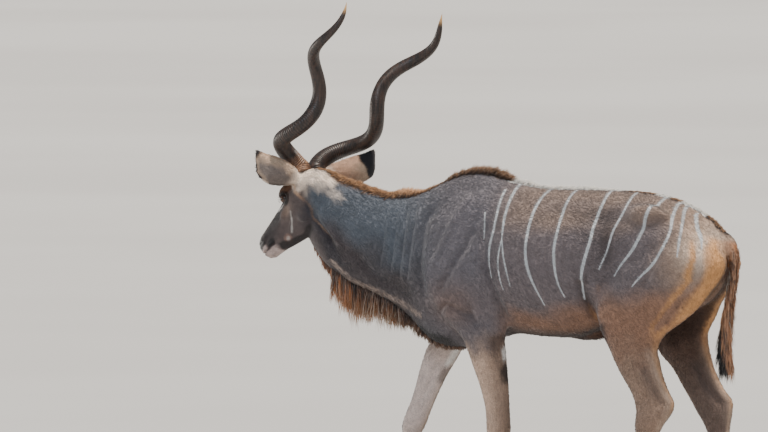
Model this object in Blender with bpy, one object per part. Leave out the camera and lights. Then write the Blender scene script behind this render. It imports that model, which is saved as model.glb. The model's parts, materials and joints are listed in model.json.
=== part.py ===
"""Greater kudu bull, life size, standing with one foreleg forward and its head lowered to the right.

x runs towards the tail, y to the animal's right and z up, all in metres.
The flesh is lofted from tables of sections, merged by a voxel remesh, thinned, and parted by planes
into head, neck, torso, tail and legs. Horns, ears, eyes, claws and the locks of the mane, the throat
fringe and the tail tuft are added after that.
"""
import math
import random

import bmesh
import bpy
from mathutils import Matrix, Vector
from mathutils.bvhtree import BVHTree

# Gap left between neighbouring nodes
GAP = 0.0003

# Voxel sizes of the merged body and of the finer head
BODY_VOXEL = 0.009
HEAD_VOXEL = 0.0035

# Triangles kept in the body and in the head
BODY_TRIS = 4800
HEAD_TRIS = 2400

# Pose of the head: place of the poll, and its turn, pitch and roll in degrees
POLL = Vector((-1.246, 0.030, 1.378))
HEAD_TURN = 16.5
HEAD_PITCH = 51.0
HEAD_ROLL = 6.6

# Horns: spiral axis, coil radius, number of turns and thickness
HORN_LEAN_BACK = 0.474
HORN_LEAN_OUT = 0.146
HORN_LENGTH = 0.738
HORN_COIL = 0.048
HORN_COIL_TOP = 0.033
HORN_TURNS = 1.885
HORN_PHASE = -1.309
HORN_BEND_OUT = 0.051
HORN_BEND_BACK = 0.039
HORN_RISE_POWER = 1.471
HORN_TURN_POWER = 1.394
HORN_COIL_POWER = 3.0
HORN_BASE_APART = 0.040
HORN_RADIUS = 0.0315
HORN_ROOT = 0.030
HORN_TIP = 0.012

# Eyes
EYE_RADIUS = 0.0175

# Mouth: where its corner and front lie along the face, and how far under the forehead line
MOUTH_CORNER = 0.285
MOUTH_FRONT = 0.365
MOUTH_OUT = 0.070

# Nostril: along the face, out of the forehead, across
NOSTRIL = (0.350, -0.036, 0.024)

# Ears: tip and base as places on the head (along the face, out of the forehead, across to the left)
LEFT_EAR = ((-0.010, 0.063, 0.235), (0.026, -0.043, 0.048))
RIGHT_EAR = ((-0.133, -0.015, -0.240), (0.016, -0.043, -0.048))

# Ear shape from base to tip: place along it, half width, drop towards the lower rim, how far opened
EAR_SHAPE = [
    (0.00, 0.024, 0.000, 0.00),
    (0.16, 0.038, 0.006, 0.45),
    (0.36, 0.052, 0.019, 0.85),
    (0.60, 0.058, 0.034, 1.00),
    (0.80, 0.044, 0.032, 1.00),
    (0.93, 0.021, 0.013, 1.00),
    (1.00, 0.004, 0.000, 1.00),
]
EAR_BEND = 0.014
EAR_SKIN = 0.0065

# Hooves: height of the coronet and size of one claw
CORONET_FRONT = 0.062
CORONET_SLOPE = 0.32
CORONET_BACK = 0.018
CLAW_LENGTH = 0.086
CLAW_WIDTH = 0.033
CLAW_GAP = 0.006

# Trunk and neck sections, tail end first:
# top x, top z, bottom x, bottom z, y, half width, level of the widest point, upper and lower power
TRUNK = [
    (0.570, 1.146, 0.558, 1.060, 0.000, 0.030, 0.50, 2.0, 2.0),
    (0.545, 1.190, 0.532, 0.990, 0.000, 0.068, 0.55, 1.8, 2.0),
    (0.495, 1.238, 0.478, 0.930, 0.000, 0.112, 0.56, 1.6, 2.0),
    (0.408, 1.287, 0.390, 0.890, 0.000, 0.155, 0.57, 1.6, 2.0),
    (0.270, 1.325, 0.260, 0.870, 0.000, 0.182, 0.58, 1.7, 2.1),
    (0.120, 1.336, 0.120, 0.845, 0.000, 0.196, 0.52, 1.8, 2.1),
    (-0.040, 1.337, -0.040, 0.787, 0.000, 0.214, 0.47, 1.8, 2.1),
    (-0.200, 1.336, -0.200, 0.782, 0.000, 0.220, 0.47, 1.8, 2.1),
    (-0.340, 1.358, -0.330, 0.788, 0.000, 0.205, 0.48, 1.6, 2.1),
    (-0.450, 1.388, -0.450, 0.752, 0.000, 0.188, 0.48, 1.4, 2.1),
    (-0.545, 1.386, -0.560, 0.730, 0.000, 0.172, 0.50, 1.4, 2.0),
    (-0.620, 1.362, -0.660, 0.742, 0.000, 0.155, 0.52, 1.5, 2.0),
    (-0.690, 1.328, -0.730, 0.785, 0.000, 0.130, 0.52, 1.6, 1.9),
    (-0.770, 1.298, -0.790, 0.840, 0.000, 0.108, 0.52, 1.7, 1.9),
    (-0.860, 1.290, -0.865, 0.884, 0.001, 0.096, 0.52, 1.8, 1.9),
    (-0.950, 1.306, -0.955, 0.922, 0.004, 0.090, 0.52, 1.8, 1.9),
    (-1.045, 1.336, -1.040, 0.950, 0.010, 0.086, 0.54, 1.8, 1.9),
    (-1.130, 1.358, -1.100, 0.984, 0.018, 0.083, 0.55, 1.9, 1.9),
    (-1.200, 1.368, -1.158, 1.020, 0.027, 0.078, 0.58, 2.0, 2.0),
    (-1.245, 1.350, -1.222, 1.090, 0.033, 0.060, 0.58, 2.0, 2.0),
]

# Head sections, back of the skull first: place along the face, top, bottom, half width, level, powers
HEAD = [
    (-0.060, -0.075, -0.160, 0.045, 0.50, 2.0, 2.0),
    (-0.020, -0.020, -0.188, 0.062, 0.60, 2.2, 2.0),
    (0.020, 0.000, -0.202, 0.068, 0.62, 2.3, 2.0),
    (0.060, 0.004, -0.208, 0.070, 0.64, 2.4, 2.0),
    (0.100, 0.004, -0.206, 0.069, 0.66, 2.4, 1.9),
    (0.135, 0.001, -0.200, 0.061, 0.66, 2.2, 1.9),
    (0.170, 0.000, -0.189, 0.050, 0.64, 2.1, 1.8),
    (0.210, 0.002, -0.172, 0.041, 0.62, 2.1, 1.8),
    (0.255, 0.003, -0.150, 0.036, 0.60, 2.1, 1.8),
    (0.295, 0.002, -0.129, 0.034, 0.58, 2.2, 1.9),
    (0.328, -0.001, -0.114, 0.036, 0.58, 2.3, 2.0),
    (0.352, -0.008, -0.102, 0.034, 0.58, 2.4, 2.2),
    (0.370, -0.022, -0.090, 0.024, 0.58, 2.2, 2.2),
]

# Leg sections, top first: height, front x, rear x, y out from the middle, half width, skew, power
LEFT_FORELEG = [
    (1.310, -0.545, -0.370, 0.066, 0.028, 0.0, 2.0),
    (1.210, -0.620, -0.335, 0.100, 0.048, 0.0, 2.0),
    (1.080, -0.662, -0.315, 0.122, 0.060, 0.0, 2.0),
    (0.970, -0.655, -0.305, 0.128, 0.062, 0.0, 2.0),
    (0.885, -0.606, -0.302, 0.130, 0.059, 0.0, 2.0),
    (0.825, -0.545, -0.302, 0.131, 0.054, 0.0, 2.0),
    (0.773, -0.490, -0.312, 0.132, 0.046, 0.0, 2.1),
    (0.733, -0.472, -0.306, 0.131, 0.041, 0.0, 2.0),
    (0.669, -0.446, -0.302, 0.130, 0.036, 0.0, 2.0),
    (0.606, -0.420, -0.296, 0.130, 0.032, 0.0, 2.0),
    (0.530, -0.396, -0.293, 0.130, 0.031, 0.0, 2.0),
    (0.460, -0.386, -0.292, 0.130, 0.034, 0.0, 2.3),
    (0.415, -0.380, -0.296, 0.130, 0.032, 0.0, 2.3),
    (0.370, -0.366, -0.306, 0.130, 0.024, 0.0, 2.1),
    (0.300, -0.358, -0.306, 0.130, 0.020, 0.0, 2.0),
    (0.200, -0.354, -0.302, 0.130, 0.020, 0.0, 2.0),
    (0.150, -0.356, -0.298, 0.130, 0.023, 0.0, 2.0),
    (0.118, -0.362, -0.297, 0.130, 0.030, 0.0, 2.0),
    (0.085, -0.374, -0.312, 0.130, 0.031, 0.0, 2.1),
    (0.055, -0.388, -0.322, 0.130, 0.033, 0.0, 2.3),
    (0.020, -0.398, -0.334, 0.130, 0.032, 0.0, 2.3),
]
RIGHT_FORELEG = [
    (1.310, -0.560, -0.385, 0.066, 0.028, 0.0, 2.0),
    (1.210, -0.640, -0.355, 0.100, 0.048, 0.0, 2.0),
    (1.080, -0.692, -0.345, 0.122, 0.060, 0.0, 2.0),
    (0.970, -0.705, -0.345, 0.127, 0.062, 0.0, 2.0),
    (0.885, -0.706, -0.365, 0.129, 0.059, 0.0, 2.0),
    (0.825, -0.714, -0.430, 0.130, 0.054, 0.0, 2.0),
    (0.780, -0.745, -0.550, 0.130, 0.046, 0.0, 2.1),
    (0.733, -0.785, -0.625, 0.130, 0.041, 0.0, 2.0),
    (0.669, -0.812, -0.670, 0.128, 0.036, 0.0, 2.0),
    (0.606, -0.830, -0.712, 0.126, 0.032, 0.0, 2.0),
    (0.530, -0.852, -0.752, 0.124, 0.031, 0.0, 2.0),
    (0.460, -0.880, -0.786, 0.122, 0.034, 0.0, 2.3),
    (0.415, -0.890, -0.808, 0.122, 0.032, 0.0, 2.3),
    (0.370, -0.888, -0.830, 0.121, 0.024, 0.0, 2.1),
    (0.300, -0.900, -0.848, 0.120, 0.020, 0.0, 2.0),
    (0.200, -0.918, -0.866, 0.118, 0.020, 0.0, 2.0),
    (0.150, -0.930, -0.872, 0.118, 0.023, 0.0, 2.0),
    (0.118, -0.942, -0.876, 0.117, 0.030, 0.0, 2.0),
    (0.085, -0.958, -0.896, 0.117, 0.031, 0.0, 2.1),
    (0.055, -0.974, -0.908, 0.117, 0.033, 0.0, 2.3),
    (0.020, -0.986, -0.920, 0.117, 0.032, 0.0, 2.3),
]
LEFT_HINDLEG = [
    (1.225, 0.290, 0.450, 0.070, 0.044, 0.10, 2.0),
    (1.150, 0.240, 0.540, 0.088, 0.068, 0.16, 2.0),
    (1.085, 0.195, 0.587, 0.100, 0.080, 0.20, 2.0),
    (1.030, 0.160, 0.576, 0.106, 0.083, 0.20, 2.0),
    (0.976, 0.125, 0.536, 0.112, 0.082, 0.18, 2.0),
    (0.915, 0.092, 0.490, 0.118, 0.076, 0.14, 2.0),
    (0.865, 0.086, 0.436, 0.123, 0.068, 0.10, 2.1),
    (0.810, 0.104, 0.360, 0.128, 0.060, 0.05, 2.1),
    (0.760, 0.130, 0.336, 0.132, 0.052, 0.0, 2.0),
    (0.720, 0.150, 0.345, 0.134, 0.046, 0.0, 2.0),
    (0.666, 0.180, 0.360, 0.136, 0.039, 0.0, 2.0),
    (0.605, 0.222, 0.388, 0.138, 0.032, 0.0, 2.0),
    (0.565, 0.240, 0.411, 0.139, 0.030, 0.0, 2.0),
    (0.526, 0.249, 0.402, 0.140, 0.032, 0.0, 2.0),
    (0.486, 0.246, 0.368, 0.140, 0.032, 0.0, 2.1),
    (0.440, 0.246, 0.342, 0.140, 0.027, 0.0, 2.1),
    (0.390, 0.245, 0.318, 0.140, 0.022, 0.0, 2.0),
    (0.300, 0.232, 0.292, 0.140, 0.020, 0.0, 2.0),
    (0.200, 0.212, 0.268, 0.140, 0.020, 0.0, 2.0),
    (0.150, 0.198, 0.260, 0.140, 0.023, 0.0, 2.0),
    (0.118, 0.184, 0.252, 0.140, 0.029, 0.0, 2.0),
    (0.085, 0.168, 0.230, 0.140, 0.030, 0.0, 2.1),
    (0.055, 0.152, 0.218, 0.140, 0.032, 0.0, 2.3),
    (0.020, 0.142, 0.206, 0.140, 0.031, 0.0, 2.3),
]
RIGHT_HINDLEG = [
    (1.225, 0.290, 0.450, 0.070, 0.044, 0.10, 2.0),
    (1.150, 0.240, 0.530, 0.088, 0.068, 0.16, 2.0),
    (1.085, 0.200, 0.575, 0.100, 0.080, 0.20, 2.0),
    (1.030, 0.168, 0.562, 0.104, 0.083, 0.20, 2.0),
    (0.976, 0.140, 0.520, 0.108, 0.082, 0.16, 2.0),
    (0.915, 0.122, 0.472, 0.112, 0.076, 0.10, 2.0),
    (0.865, 0.128, 0.446, 0.116, 0.068, 0.06, 2.1),
    (0.810, 0.152, 0.410, 0.118, 0.060, 0.03, 2.1),
    (0.760, 0.186, 0.412, 0.119, 0.052, 0.0, 2.0),
    (0.720, 0.212, 0.422, 0.120, 0.046, 0.0, 2.0),
    (0.673, 0.259, 0.438, 0.120, 0.039, 0.0, 2.0),
    (0.605, 0.302, 0.476, 0.120, 0.032, 0.0, 2.0),
    (0.565, 0.330, 0.511, 0.120, 0.030, 0.0, 2.0),
    (0.526, 0.354, 0.512, 0.120, 0.032, 0.0, 2.0),
    (0.480, 0.388, 0.502, 0.120, 0.032, 0.0, 2.1),
    (0.437, 0.407, 0.498, 0.120, 0.027, 0.0, 2.1),
    (0.390, 0.414, 0.488, 0.120, 0.022, 0.0, 2.0),
    (0.300, 0.418, 0.480, 0.120, 0.020, 0.0, 2.0),
    (0.200, 0.416, 0.474, 0.120, 0.020, 0.0, 2.0),
    (0.150, 0.408, 0.470, 0.120, 0.023, 0.0, 2.0),
    (0.118, 0.396, 0.464, 0.120, 0.029, 0.0, 2.0),
    (0.085, 0.380, 0.444, 0.120, 0.030, 0.0, 2.1),
    (0.055, 0.364, 0.432, 0.120, 0.032, 0.0, 2.3),
    (0.020, 0.354, 0.420, 0.120, 0.031, 0.0, 2.3),
]

# Tail sections, root first: x, z, half thickness, half width
TAIL = [
    (0.535, 1.175, 0.026, 0.030),
    (0.570, 1.150, 0.024, 0.028),
    (0.583, 1.105, 0.021, 0.025),
    (0.580, 1.040, 0.016, 0.023),
    (0.568, 0.970, 0.014, 0.021),
    (0.553, 0.890, 0.013, 0.020),
    (0.543, 0.820, 0.012, 0.018),
    (0.546, 0.760, 0.010, 0.014),
    (0.556, 0.720, 0.005, 0.007),
]

# Locks: how deep they root, the spacing, width and thickness of the mane's and the fringe's
LOCK_ROOT = 0.016
CREST_STEP = 0.0220
CREST_WIDTH = 0.044
CREST_THICK = 0.014
FRINGE_STEP = 0.0142
FRINGE_WIDTH = 0.045
FRINGE_THICK = 0.016
TAIL_LOCKS = 10
TAIL_LOCK_LENGTH = 0.080

# Mane along the top line: x, y, length, backward lean
NECK_CREST = [
    (-1.190, 0.024, 0.026, 0.30),
    (-1.050, 0.010, 0.030, 0.30),
    (-0.930, 0.003, 0.032, 0.25),
    (-0.860, 0.001, 0.040, 0.15),
    (-0.790, 0.000, 0.042, 0.05),
    (-0.700, 0.000, 0.030, 0.10),
]
BACK_CREST = [
    (-0.700, 0.000, 0.030, 0.10),
    (-0.620, 0.000, 0.046, 0.20),
    (-0.550, 0.000, 0.058, 0.30),
    (-0.460, 0.000, 0.058, 0.45),
    (-0.380, 0.000, 0.050, 0.65),
    (-0.310, 0.000, 0.034, 0.85),
    (-0.200, 0.000, 0.020, 1.00),
]

# Throat fringe along the underline: x, y, length
JAW_FRINGE = [
    (-1.235, 0.060, 0.030),
    (-1.180, 0.048, 0.060),
    (-1.150, 0.040, 0.080),
]
NECK_FRINGE = [
    (-1.130, 0.020, 0.150),
    (-1.080, 0.012, 0.170),
    (-1.000, 0.006, 0.155),
    (-0.900, 0.002, 0.130),
    (-0.820, 0.000, 0.080),
    (-0.740, 0.000, 0.045),
]
CHEST_FRINGE = [
    (-0.760, 0.000, 0.046),
    (-0.690, 0.000, 0.034),
    (-0.600, 0.000, 0.024),
]

# Rounded masses merged into the flesh: centre, half sizes (a y of zero stays single, others are mirrored)
MASSES = [
    ((0.275, 0.116, 1.245), (0.090, 0.044, 0.052)),
    ((0.520, 0.058, 1.115), (0.042, 0.034, 0.050)),
    ((-0.040, 0.000, 0.793), (0.095, 0.022, 0.020)),
]

# Cutting planes: a point and the normal pointing to the side that is kept by the second name
NECK_CUT = (Vector((-0.715, 0.0, 1.05)), Vector((-0.985, 0.0, 0.17)))
HEAD_CUT = (Vector((-1.146, 0.03, 1.12)), Vector((-0.965, 0.16, -0.205)))
FORELEG_CUT = 0.722
HINDLEG_CUT = 0.790
HINDLEG_FRONT = 0.085


# Sides of the head: plus one is the animal's left
SIDES = ((1, "left"), (-1, "right"))

# Legs: name, side, sections, height of the cut, and whether it is a hind leg
LEGS = [
    ("fore_left", -1, LEFT_FORELEG, FORELEG_CUT),
    ("fore_right", 1, RIGHT_FORELEG, FORELEG_CUT),
    ("hind_left", -1, LEFT_HINDLEG, HINDLEG_CUT),
    ("hind_right", 1, RIGHT_HINDLEG, HINDLEG_CUT),
]

# Colour, roughness and coat of each kind of node
COLOURS = {
    "head": ((0.23, 0.16, 0.11), 0.8),
    "neck": ((0.20, 0.15, 0.11), 0.8),
    "torso": ((0.30, 0.21, 0.14), 0.8),
    "tail": ((0.25, 0.14, 0.07), 0.8),
    "foreleg": ((0.30, 0.19, 0.11), 0.8),
    "hindleg": ((0.30, 0.19, 0.11), 0.8),
    "ear": ((0.28, 0.19, 0.12), 0.8),
    "eye": ((0.02, 0.012, 0.008), 0.1, 0.5),
    "horn": ((0.05, 0.035, 0.025), 0.4, 0.2),
    "forehoof": ((0.03, 0.027, 0.025), 0.5),
    "hindhoof": ((0.03, 0.027, 0.025), 0.5),
    "foredew": ((0.03, 0.027, 0.025), 0.5),
    "hinddew": ((0.03, 0.027, 0.025), 0.5),
}


def clear_scene():
    for thing in list(bpy.data.objects):
        bpy.data.objects.remove(thing, do_unlink=True)


def catmull(rows, per):
    """Rows with `per` steps between each pair, on a smooth curve through them all."""
    out = []
    last = len(rows) - 1
    for i in range(last):
        a = rows[max(i - 1, 0)]
        b = rows[i]
        c = rows[i + 1]
        d = rows[min(i + 2, last)]
        for k in range(per):
            t = k / per
            row = []
            for p, q, r, s in zip(a, b, c, d):
                tangent_1 = (r - p) * 0.5
                tangent_2 = (s - q) * 0.5
                h = t * t * (3 - 2 * t)
                row.append(q * (1 - h) + r * h + tangent_1 * t * (1 - t) ** 2 - tangent_2 * t * t * (1 - t))
            out.append(tuple(row))
    out.append(tuple(rows[-1]))
    return out


def power_round(angle, upper, lower):
    """Point of a superellipse of half size one: sideways and upwards."""
    s = math.sin(angle)
    c = math.cos(angle)
    p = upper if s > 0 else lower
    side = math.copysign(abs(c) ** (2 / p), c)
    rise = math.copysign(abs(s) ** (2 / p), s)
    return side, rise


def ring_between(top, bottom, side, half, level, upper, lower, count):
    """Ring through top and bottom, as wide as half at the given level between them."""
    wide = bottom.lerp(top, level)
    ring = []
    for i in range(count):
        across, rise = power_round(2 * math.pi * i / count, upper, lower)
        reach = (top - wide) * rise if rise > 0 else (wide - bottom) * rise
        ring.append(wide + reach + side * (across * half))
    return ring


def loft(name, rings, closed_path=False):
    """Closed skin over a row of rings with the same number of points."""
    bm = bmesh.new()
    rows = []
    for ring in rings:
        rows.append([bm.verts.new(p) for p in ring])
    count = len(rows[0])
    pairs = list(zip(rows, rows[1:]))
    if closed_path:
        pairs.append((rows[-1], rows[0]))
    for low, high in pairs:
        for i in range(count):
            j = (i + 1) % count
            bm.faces.new((low[i], low[j], high[j], high[i]))
    if not closed_path:
        bm.faces.new(list(reversed(rows[0])))
        bm.faces.new(rows[-1])
    bmesh.ops.recalc_face_normals(bm, faces=bm.faces)
    return to_object(name, bm)


def to_object(name, bm):
    mesh = bpy.data.meshes.new(name)
    bm.to_mesh(mesh)
    bm.free()
    thing = bpy.data.objects.new(name, mesh)
    bpy.context.scene.collection.objects.link(thing)
    return thing


def ellipsoid(name, centre, sizes, turn=None):
    bm = bmesh.new()
    bmesh.ops.create_icosphere(bm, subdivisions=3, radius=1.0)
    bmesh.ops.scale(bm, verts=bm.verts, vec=sizes)
    if turn is not None:
        bmesh.ops.transform(bm, verts=bm.verts, matrix=turn)
    bmesh.ops.translate(bm, verts=bm.verts, vec=centre)
    return to_object(name, bm)


def join(things, name):
    """One object holding the meshes of all the given ones."""
    bm = bmesh.new()
    for thing in things:
        bm.from_mesh(thing.data)
        bpy.data.objects.remove(thing, do_unlink=True)
    return to_object(name, bm)


def apply_modifiers(thing):
    graph = bpy.context.evaluated_depsgraph_get()
    mesh = bpy.data.meshes.new_from_object(thing.evaluated_get(graph))
    thing.modifiers.clear()
    old = thing.data
    thing.data = mesh
    bpy.data.meshes.remove(old)


def remesh(thing, voxel, steps, broad=None, broad_steps=0):
    """Merge overlapping shells into one skin and smooth it, with more steps where broad(point) is high."""
    cover = thing.modifiers.new("voxels", "REMESH")
    cover.mode = "VOXEL"
    cover.voxel_size = voxel
    even = thing.modifiers.new("even", "SMOOTH")
    even.factor = 0.5
    even.iterations = steps
    apply_modifiers(thing)
    if broad is None:
        return
    group = thing.vertex_groups.new(name="broad")
    for vert in thing.data.vertices:
        group.add([vert.index], broad(vert.co), "REPLACE")
    even = thing.modifiers.new("broad", "SMOOTH")
    even.factor = 0.5
    even.iterations = broad_steps
    even.vertex_group = "broad"
    apply_modifiers(thing)
    thing.vertex_groups.clear()


def thin_out(thing, triangles):
    fewer = thing.modifiers.new("fewer", "DECIMATE")
    faces = sum(len(p.vertices) - 2 for p in thing.data.polygons)
    fewer.ratio = min(1.0, triangles / faces)
    apply_modifiers(thing)


def largest_surface(thing):
    """Keep only the largest connected surface."""
    bm = bmesh.new()
    bm.from_mesh(thing.data)
    left = set(bm.verts)
    best = set()
    while left:
        seed = left.pop()
        part = {seed}
        stack = [seed]
        while stack:
            for edge in stack.pop().link_edges:
                for other in edge.verts:
                    if other in left:
                        left.remove(other)
                        part.add(other)
                        stack.append(other)
        if len(part) > len(best):
            best = part
    drop = [v for v in bm.verts if v not in best]
    bmesh.ops.delete(bm, geom=drop, context="VERTS")
    bmesh.ops.triangulate(bm, faces=bm.faces)
    bm.to_mesh(thing.data)
    bm.free()


def slice_off(bm, point, normal, gap=GAP):
    """Remove everything on the side the normal points to, and close the cut."""
    spot = point - normal.normalized() * (gap / 2)
    geom = bm.verts[:] + bm.edges[:] + bm.faces[:]
    result = bmesh.ops.bisect_plane(bm, geom=geom, dist=1e-6, plane_co=spot, plane_no=normal, clear_outer=True)
    rim = [g for g in result["geom_cut"] if isinstance(g, bmesh.types.BMEdge)]
    rim = [e for e in rim if e.is_boundary]
    closed = bmesh.ops.edgeloop_fill(bm, edges=rim)
    bmesh.ops.triangulate(bm, faces=closed["faces"])


def kept_part(source, name, planes, keep=None):
    """Part of the source mesh behind all the planes; keep(point) picks one of several pieces."""
    bm = bmesh.new()
    bm.from_mesh(source.data)
    for point, normal in planes:
        slice_off(bm, point, normal)
    if keep is not None:
        drop = [v for v in bm.verts if not keep(v.co)]
        bmesh.ops.delete(bm, geom=drop, context="VERTS")
    thing = to_object(name, bm)
    largest_surface(thing)
    return thing


def boolean(thing, other, operation, solver="EXACT"):
    step = thing.modifiers.new(operation.lower(), "BOOLEAN")
    step.operation = operation
    step.solver = solver
    if isinstance(other, bpy.types.Collection):
        step.operand_type = "COLLECTION"
        step.collection = other
    else:
        step.object = other
    apply_modifiers(thing)


def swollen(thing, amount):
    """Copy of a mesh pushed out along its normals."""
    bm = bmesh.new()
    bm.from_mesh(thing.data)
    bm.normal_update()
    for vert in bm.verts:
        vert.co += vert.normal * (amount * min(vert.calc_shell_factor(), 1.5))
    return to_object(thing.name + "_swollen", bm)


def head_axes():
    """Axes of the head: along the face to the nose, to the animal's left, and out of the forehead."""
    turn = math.radians(HEAD_TURN)
    forward = Vector((-math.cos(turn), math.sin(turn), 0))
    left = Vector((-math.sin(turn), -math.cos(turn), 0))
    up = Vector((0, 0, 1))
    roll = math.radians(HEAD_ROLL)
    left_r = left * math.cos(roll) + up * math.sin(roll)
    up_r = up * math.cos(roll) - left * math.sin(roll)
    pitch = math.radians(HEAD_PITCH)
    nose = forward * math.cos(pitch) - up_r * math.sin(pitch)
    brow = forward * math.sin(pitch) + up_r * math.cos(pitch)
    return forward, left_r, up_r, nose, brow


FORWARD, LEFT, UP, NOSE, BROW = head_axes()


def on_head(along, out, across):
    """World place of a point of the head: along the face, out of the forehead, across to the left."""
    return POLL + NOSE * along + BROW * out + LEFT * across


def trunk_rings(count, per):
    rings = []
    for tx, tz, bx, bz, y, half, level, upper, lower in catmull(TRUNK, per):
        top = Vector((tx, y, tz))
        bottom = Vector((bx, y, bz))
        rings.append(ring_between(top, bottom, Vector((0, 1, 0)), half, level, upper, lower, count))
    return rings


def head_rings(count, per):
    rings = []
    for along, top, bottom, half, level, upper, lower in catmull(HEAD, per):
        high = on_head(along, top, 0)
        low = on_head(along, bottom, 0)
        rings.append(ring_between(high, low, LEFT, half, level, upper, lower, count))
    return rings


def leg_rings(table, side, count, per):
    rings = []
    for z, front, rear, out, half, skew, power in catmull(table, per):
        middle = (front + rear) / 2
        reach = (rear - front) / 2
        ring = []
        for i in range(count):
            along, across = power_round(2 * math.pi * i / count, power, power)
            y = out + across * half - skew * along * reach
            ring.append(Vector((middle + along * reach, side * y, z)))
        rings.append(ring)
    return rings


def tail_rings(count, per):
    rings = []
    rows = catmull(TAIL, per)
    for i, (x, z, thick, wide) in enumerate(rows):
        before = rows[max(i - 1, 0)]
        after = rows[min(i + 1, len(rows) - 1)]
        run = Vector((after[0] - before[0], 0, after[1] - before[1])).normalized()
        out = Vector((-run.z, 0, run.x))
        ring = []
        for k in range(count):
            a = 2 * math.pi * k / count
            ring.append(Vector((x, 0, z)) + out * (thick * math.cos(a)) + Vector((0, wide * math.sin(a), 0)))
        rings.append(ring)
    return rings


def build_flesh():
    """The whole body without head details, as one merged and thinned skin."""
    pieces = [loft("trunk", trunk_rings(32, 4)), loft("skull", head_rings(24, 3))]
    pieces.append(loft("left_foreleg", leg_rings(LEFT_FORELEG, -1, 20, 3)))
    pieces.append(loft("right_foreleg", leg_rings(RIGHT_FORELEG, 1, 20, 3)))
    pieces.append(loft("left_hindleg", leg_rings(LEFT_HINDLEG, -1, 20, 3)))
    pieces.append(loft("right_hindleg", leg_rings(RIGHT_HINDLEG, 1, 20, 3)))
    for centre, sizes in MASSES:
        for side in ((0,) if centre[1] == 0 else (-1, 1)):
            pieces.append(ellipsoid("mass", (centre[0], centre[1] * side, centre[2]), sizes))
    flesh = join(pieces, "flesh")
    remesh(flesh, BODY_VOXEL, 8, lambda p: max(0.0, min(1.0, (p.z - 0.78) / 0.10)), 26)
    thin_out(flesh, BODY_TRIS)
    return flesh


def eye_place(side):
    return on_head(0.124, -0.037, side * 0.0605)


def lid_ring(side, along, out, thick):
    """Closed almond of flesh round one eye."""
    centre = eye_place(side)
    face = LEFT * side
    tilt = NOSE * 0.25 + face * 0.95
    tilt.normalize()
    axis_a = (NOSE - tilt * NOSE.dot(tilt)).normalized()
    axis_b = tilt.cross(axis_a).normalized()
    rings = []
    for i in range(20):
        a = 2 * math.pi * i / 20
        spot = centre + axis_a * (along * math.cos(a)) + axis_b * (out * math.sin(a)) + tilt * (0.008 - 0.006 * abs(math.cos(a)) ** 2)
        run = (-axis_a * math.sin(a) * along + axis_b * math.cos(a) * out).normalized()
        beside = run.cross(tilt).normalized()
        ring = []
        for k in range(8):
            b = 2 * math.pi * k / 8
            ring.append(spot + beside * (thick * math.cos(b)) + tilt * (thick * math.sin(b)))
        rings.append(ring)
    return loft("lid", rings, closed_path=True)


def away_from_eyes(place):
    """Zero at the lids, rising to one a few centimetres away."""
    near = min((place - eye_place(side)).length for side in (-1, 1))
    return max(0.0, min(1.0, (near - 0.026) / 0.02))


def build_head(flesh_cut):
    """Head with brows, cheeks, lids, lips and nostrils, cut from the neck."""
    pieces = [loft("skull", head_rings(40, 5)), loft("nape", trunk_rings(40, 6)[78:])]
    turn = Matrix((NOSE, LEFT, BROW)).transposed().to_4x4()
    lumps = [
        ((0.108, -0.014, 0.053), (0.038, 0.022, 0.018)),
        ((0.152, -0.060, 0.040), (0.050, 0.020, 0.022)),
        ((0.088, -0.130, 0.044), (0.055, 0.020, 0.052)),
        ((0.338, -0.036, 0.022), (0.022, 0.013, 0.018)),
        ((0.322, -0.078, 0.022), (0.034, 0.013, 0.016)),
        ((0.025, -0.045, 0.050), (0.030, 0.018, 0.036)),
    ]
    for (along, out, across), sizes in lumps:
        for side in (-1, 1):
            place = on_head(along, out, across * side)
            pieces.append(ellipsoid("lump", place, sizes, turn))
    chin = ellipsoid("chin", on_head(0.334, -0.094, 0), (0.028, 0.024, 0.014), turn)
    pieces.append(chin)
    for side in (-1, 1):
        pieces.append(lid_ring(side, 0.021, 0.016, 0.0055))
    head = join(pieces, "head")
    remesh(head, HEAD_VOXEL, 3, away_from_eyes, 14)
    cut_face(head)
    thin_out(head, HEAD_TRIS)
    clean = kept_part(head, "head_kept", [flesh_cut])
    bpy.data.objects.remove(head, do_unlink=True)
    clean.name = "head"
    return clean


def cut_face(head):
    """Press the mouth line and the nostrils into the fine skin."""
    for vert in head.data.vertices:
        local = vert.co - POLL
        along = local.dot(NOSE)
        out = local.dot(BROW)
        across = local.dot(LEFT)
        if along > MOUTH_CORNER:
            line = MOUTH_OUT + 0.25 * (MOUTH_FRONT - along)
            near = math.exp(-((out + line) / 0.0034) ** 2)
            fade = min(1.0, (along - MOUTH_CORNER) / 0.015)
            inward = -LEFT * math.copysign(min(1.0, abs(across) / 0.015), across)
            inward -= NOSE * max(0.0, min(1.0, (along - 0.345) / 0.012))
            vert.co += inward * (0.0065 * near * fade)
        slit_a = (along - NOSTRIL[0] + 0.5 * (abs(across) - NOSTRIL[2])) / 0.0120
        slit_b = (abs(across) - NOSTRIL[2]) / 0.0085
        slit_c = (out - NOSTRIL[1] - 0.3 * (along - NOSTRIL[0])) / 0.0060
        slit = slit_a ** 2 + slit_b ** 2 + slit_c ** 2
        if slit < 4.0:
            vert.co -= (NOSE * 0.5 + LEFT * math.copysign(0.6, across)) * (0.011 * math.exp(-slit))


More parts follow.
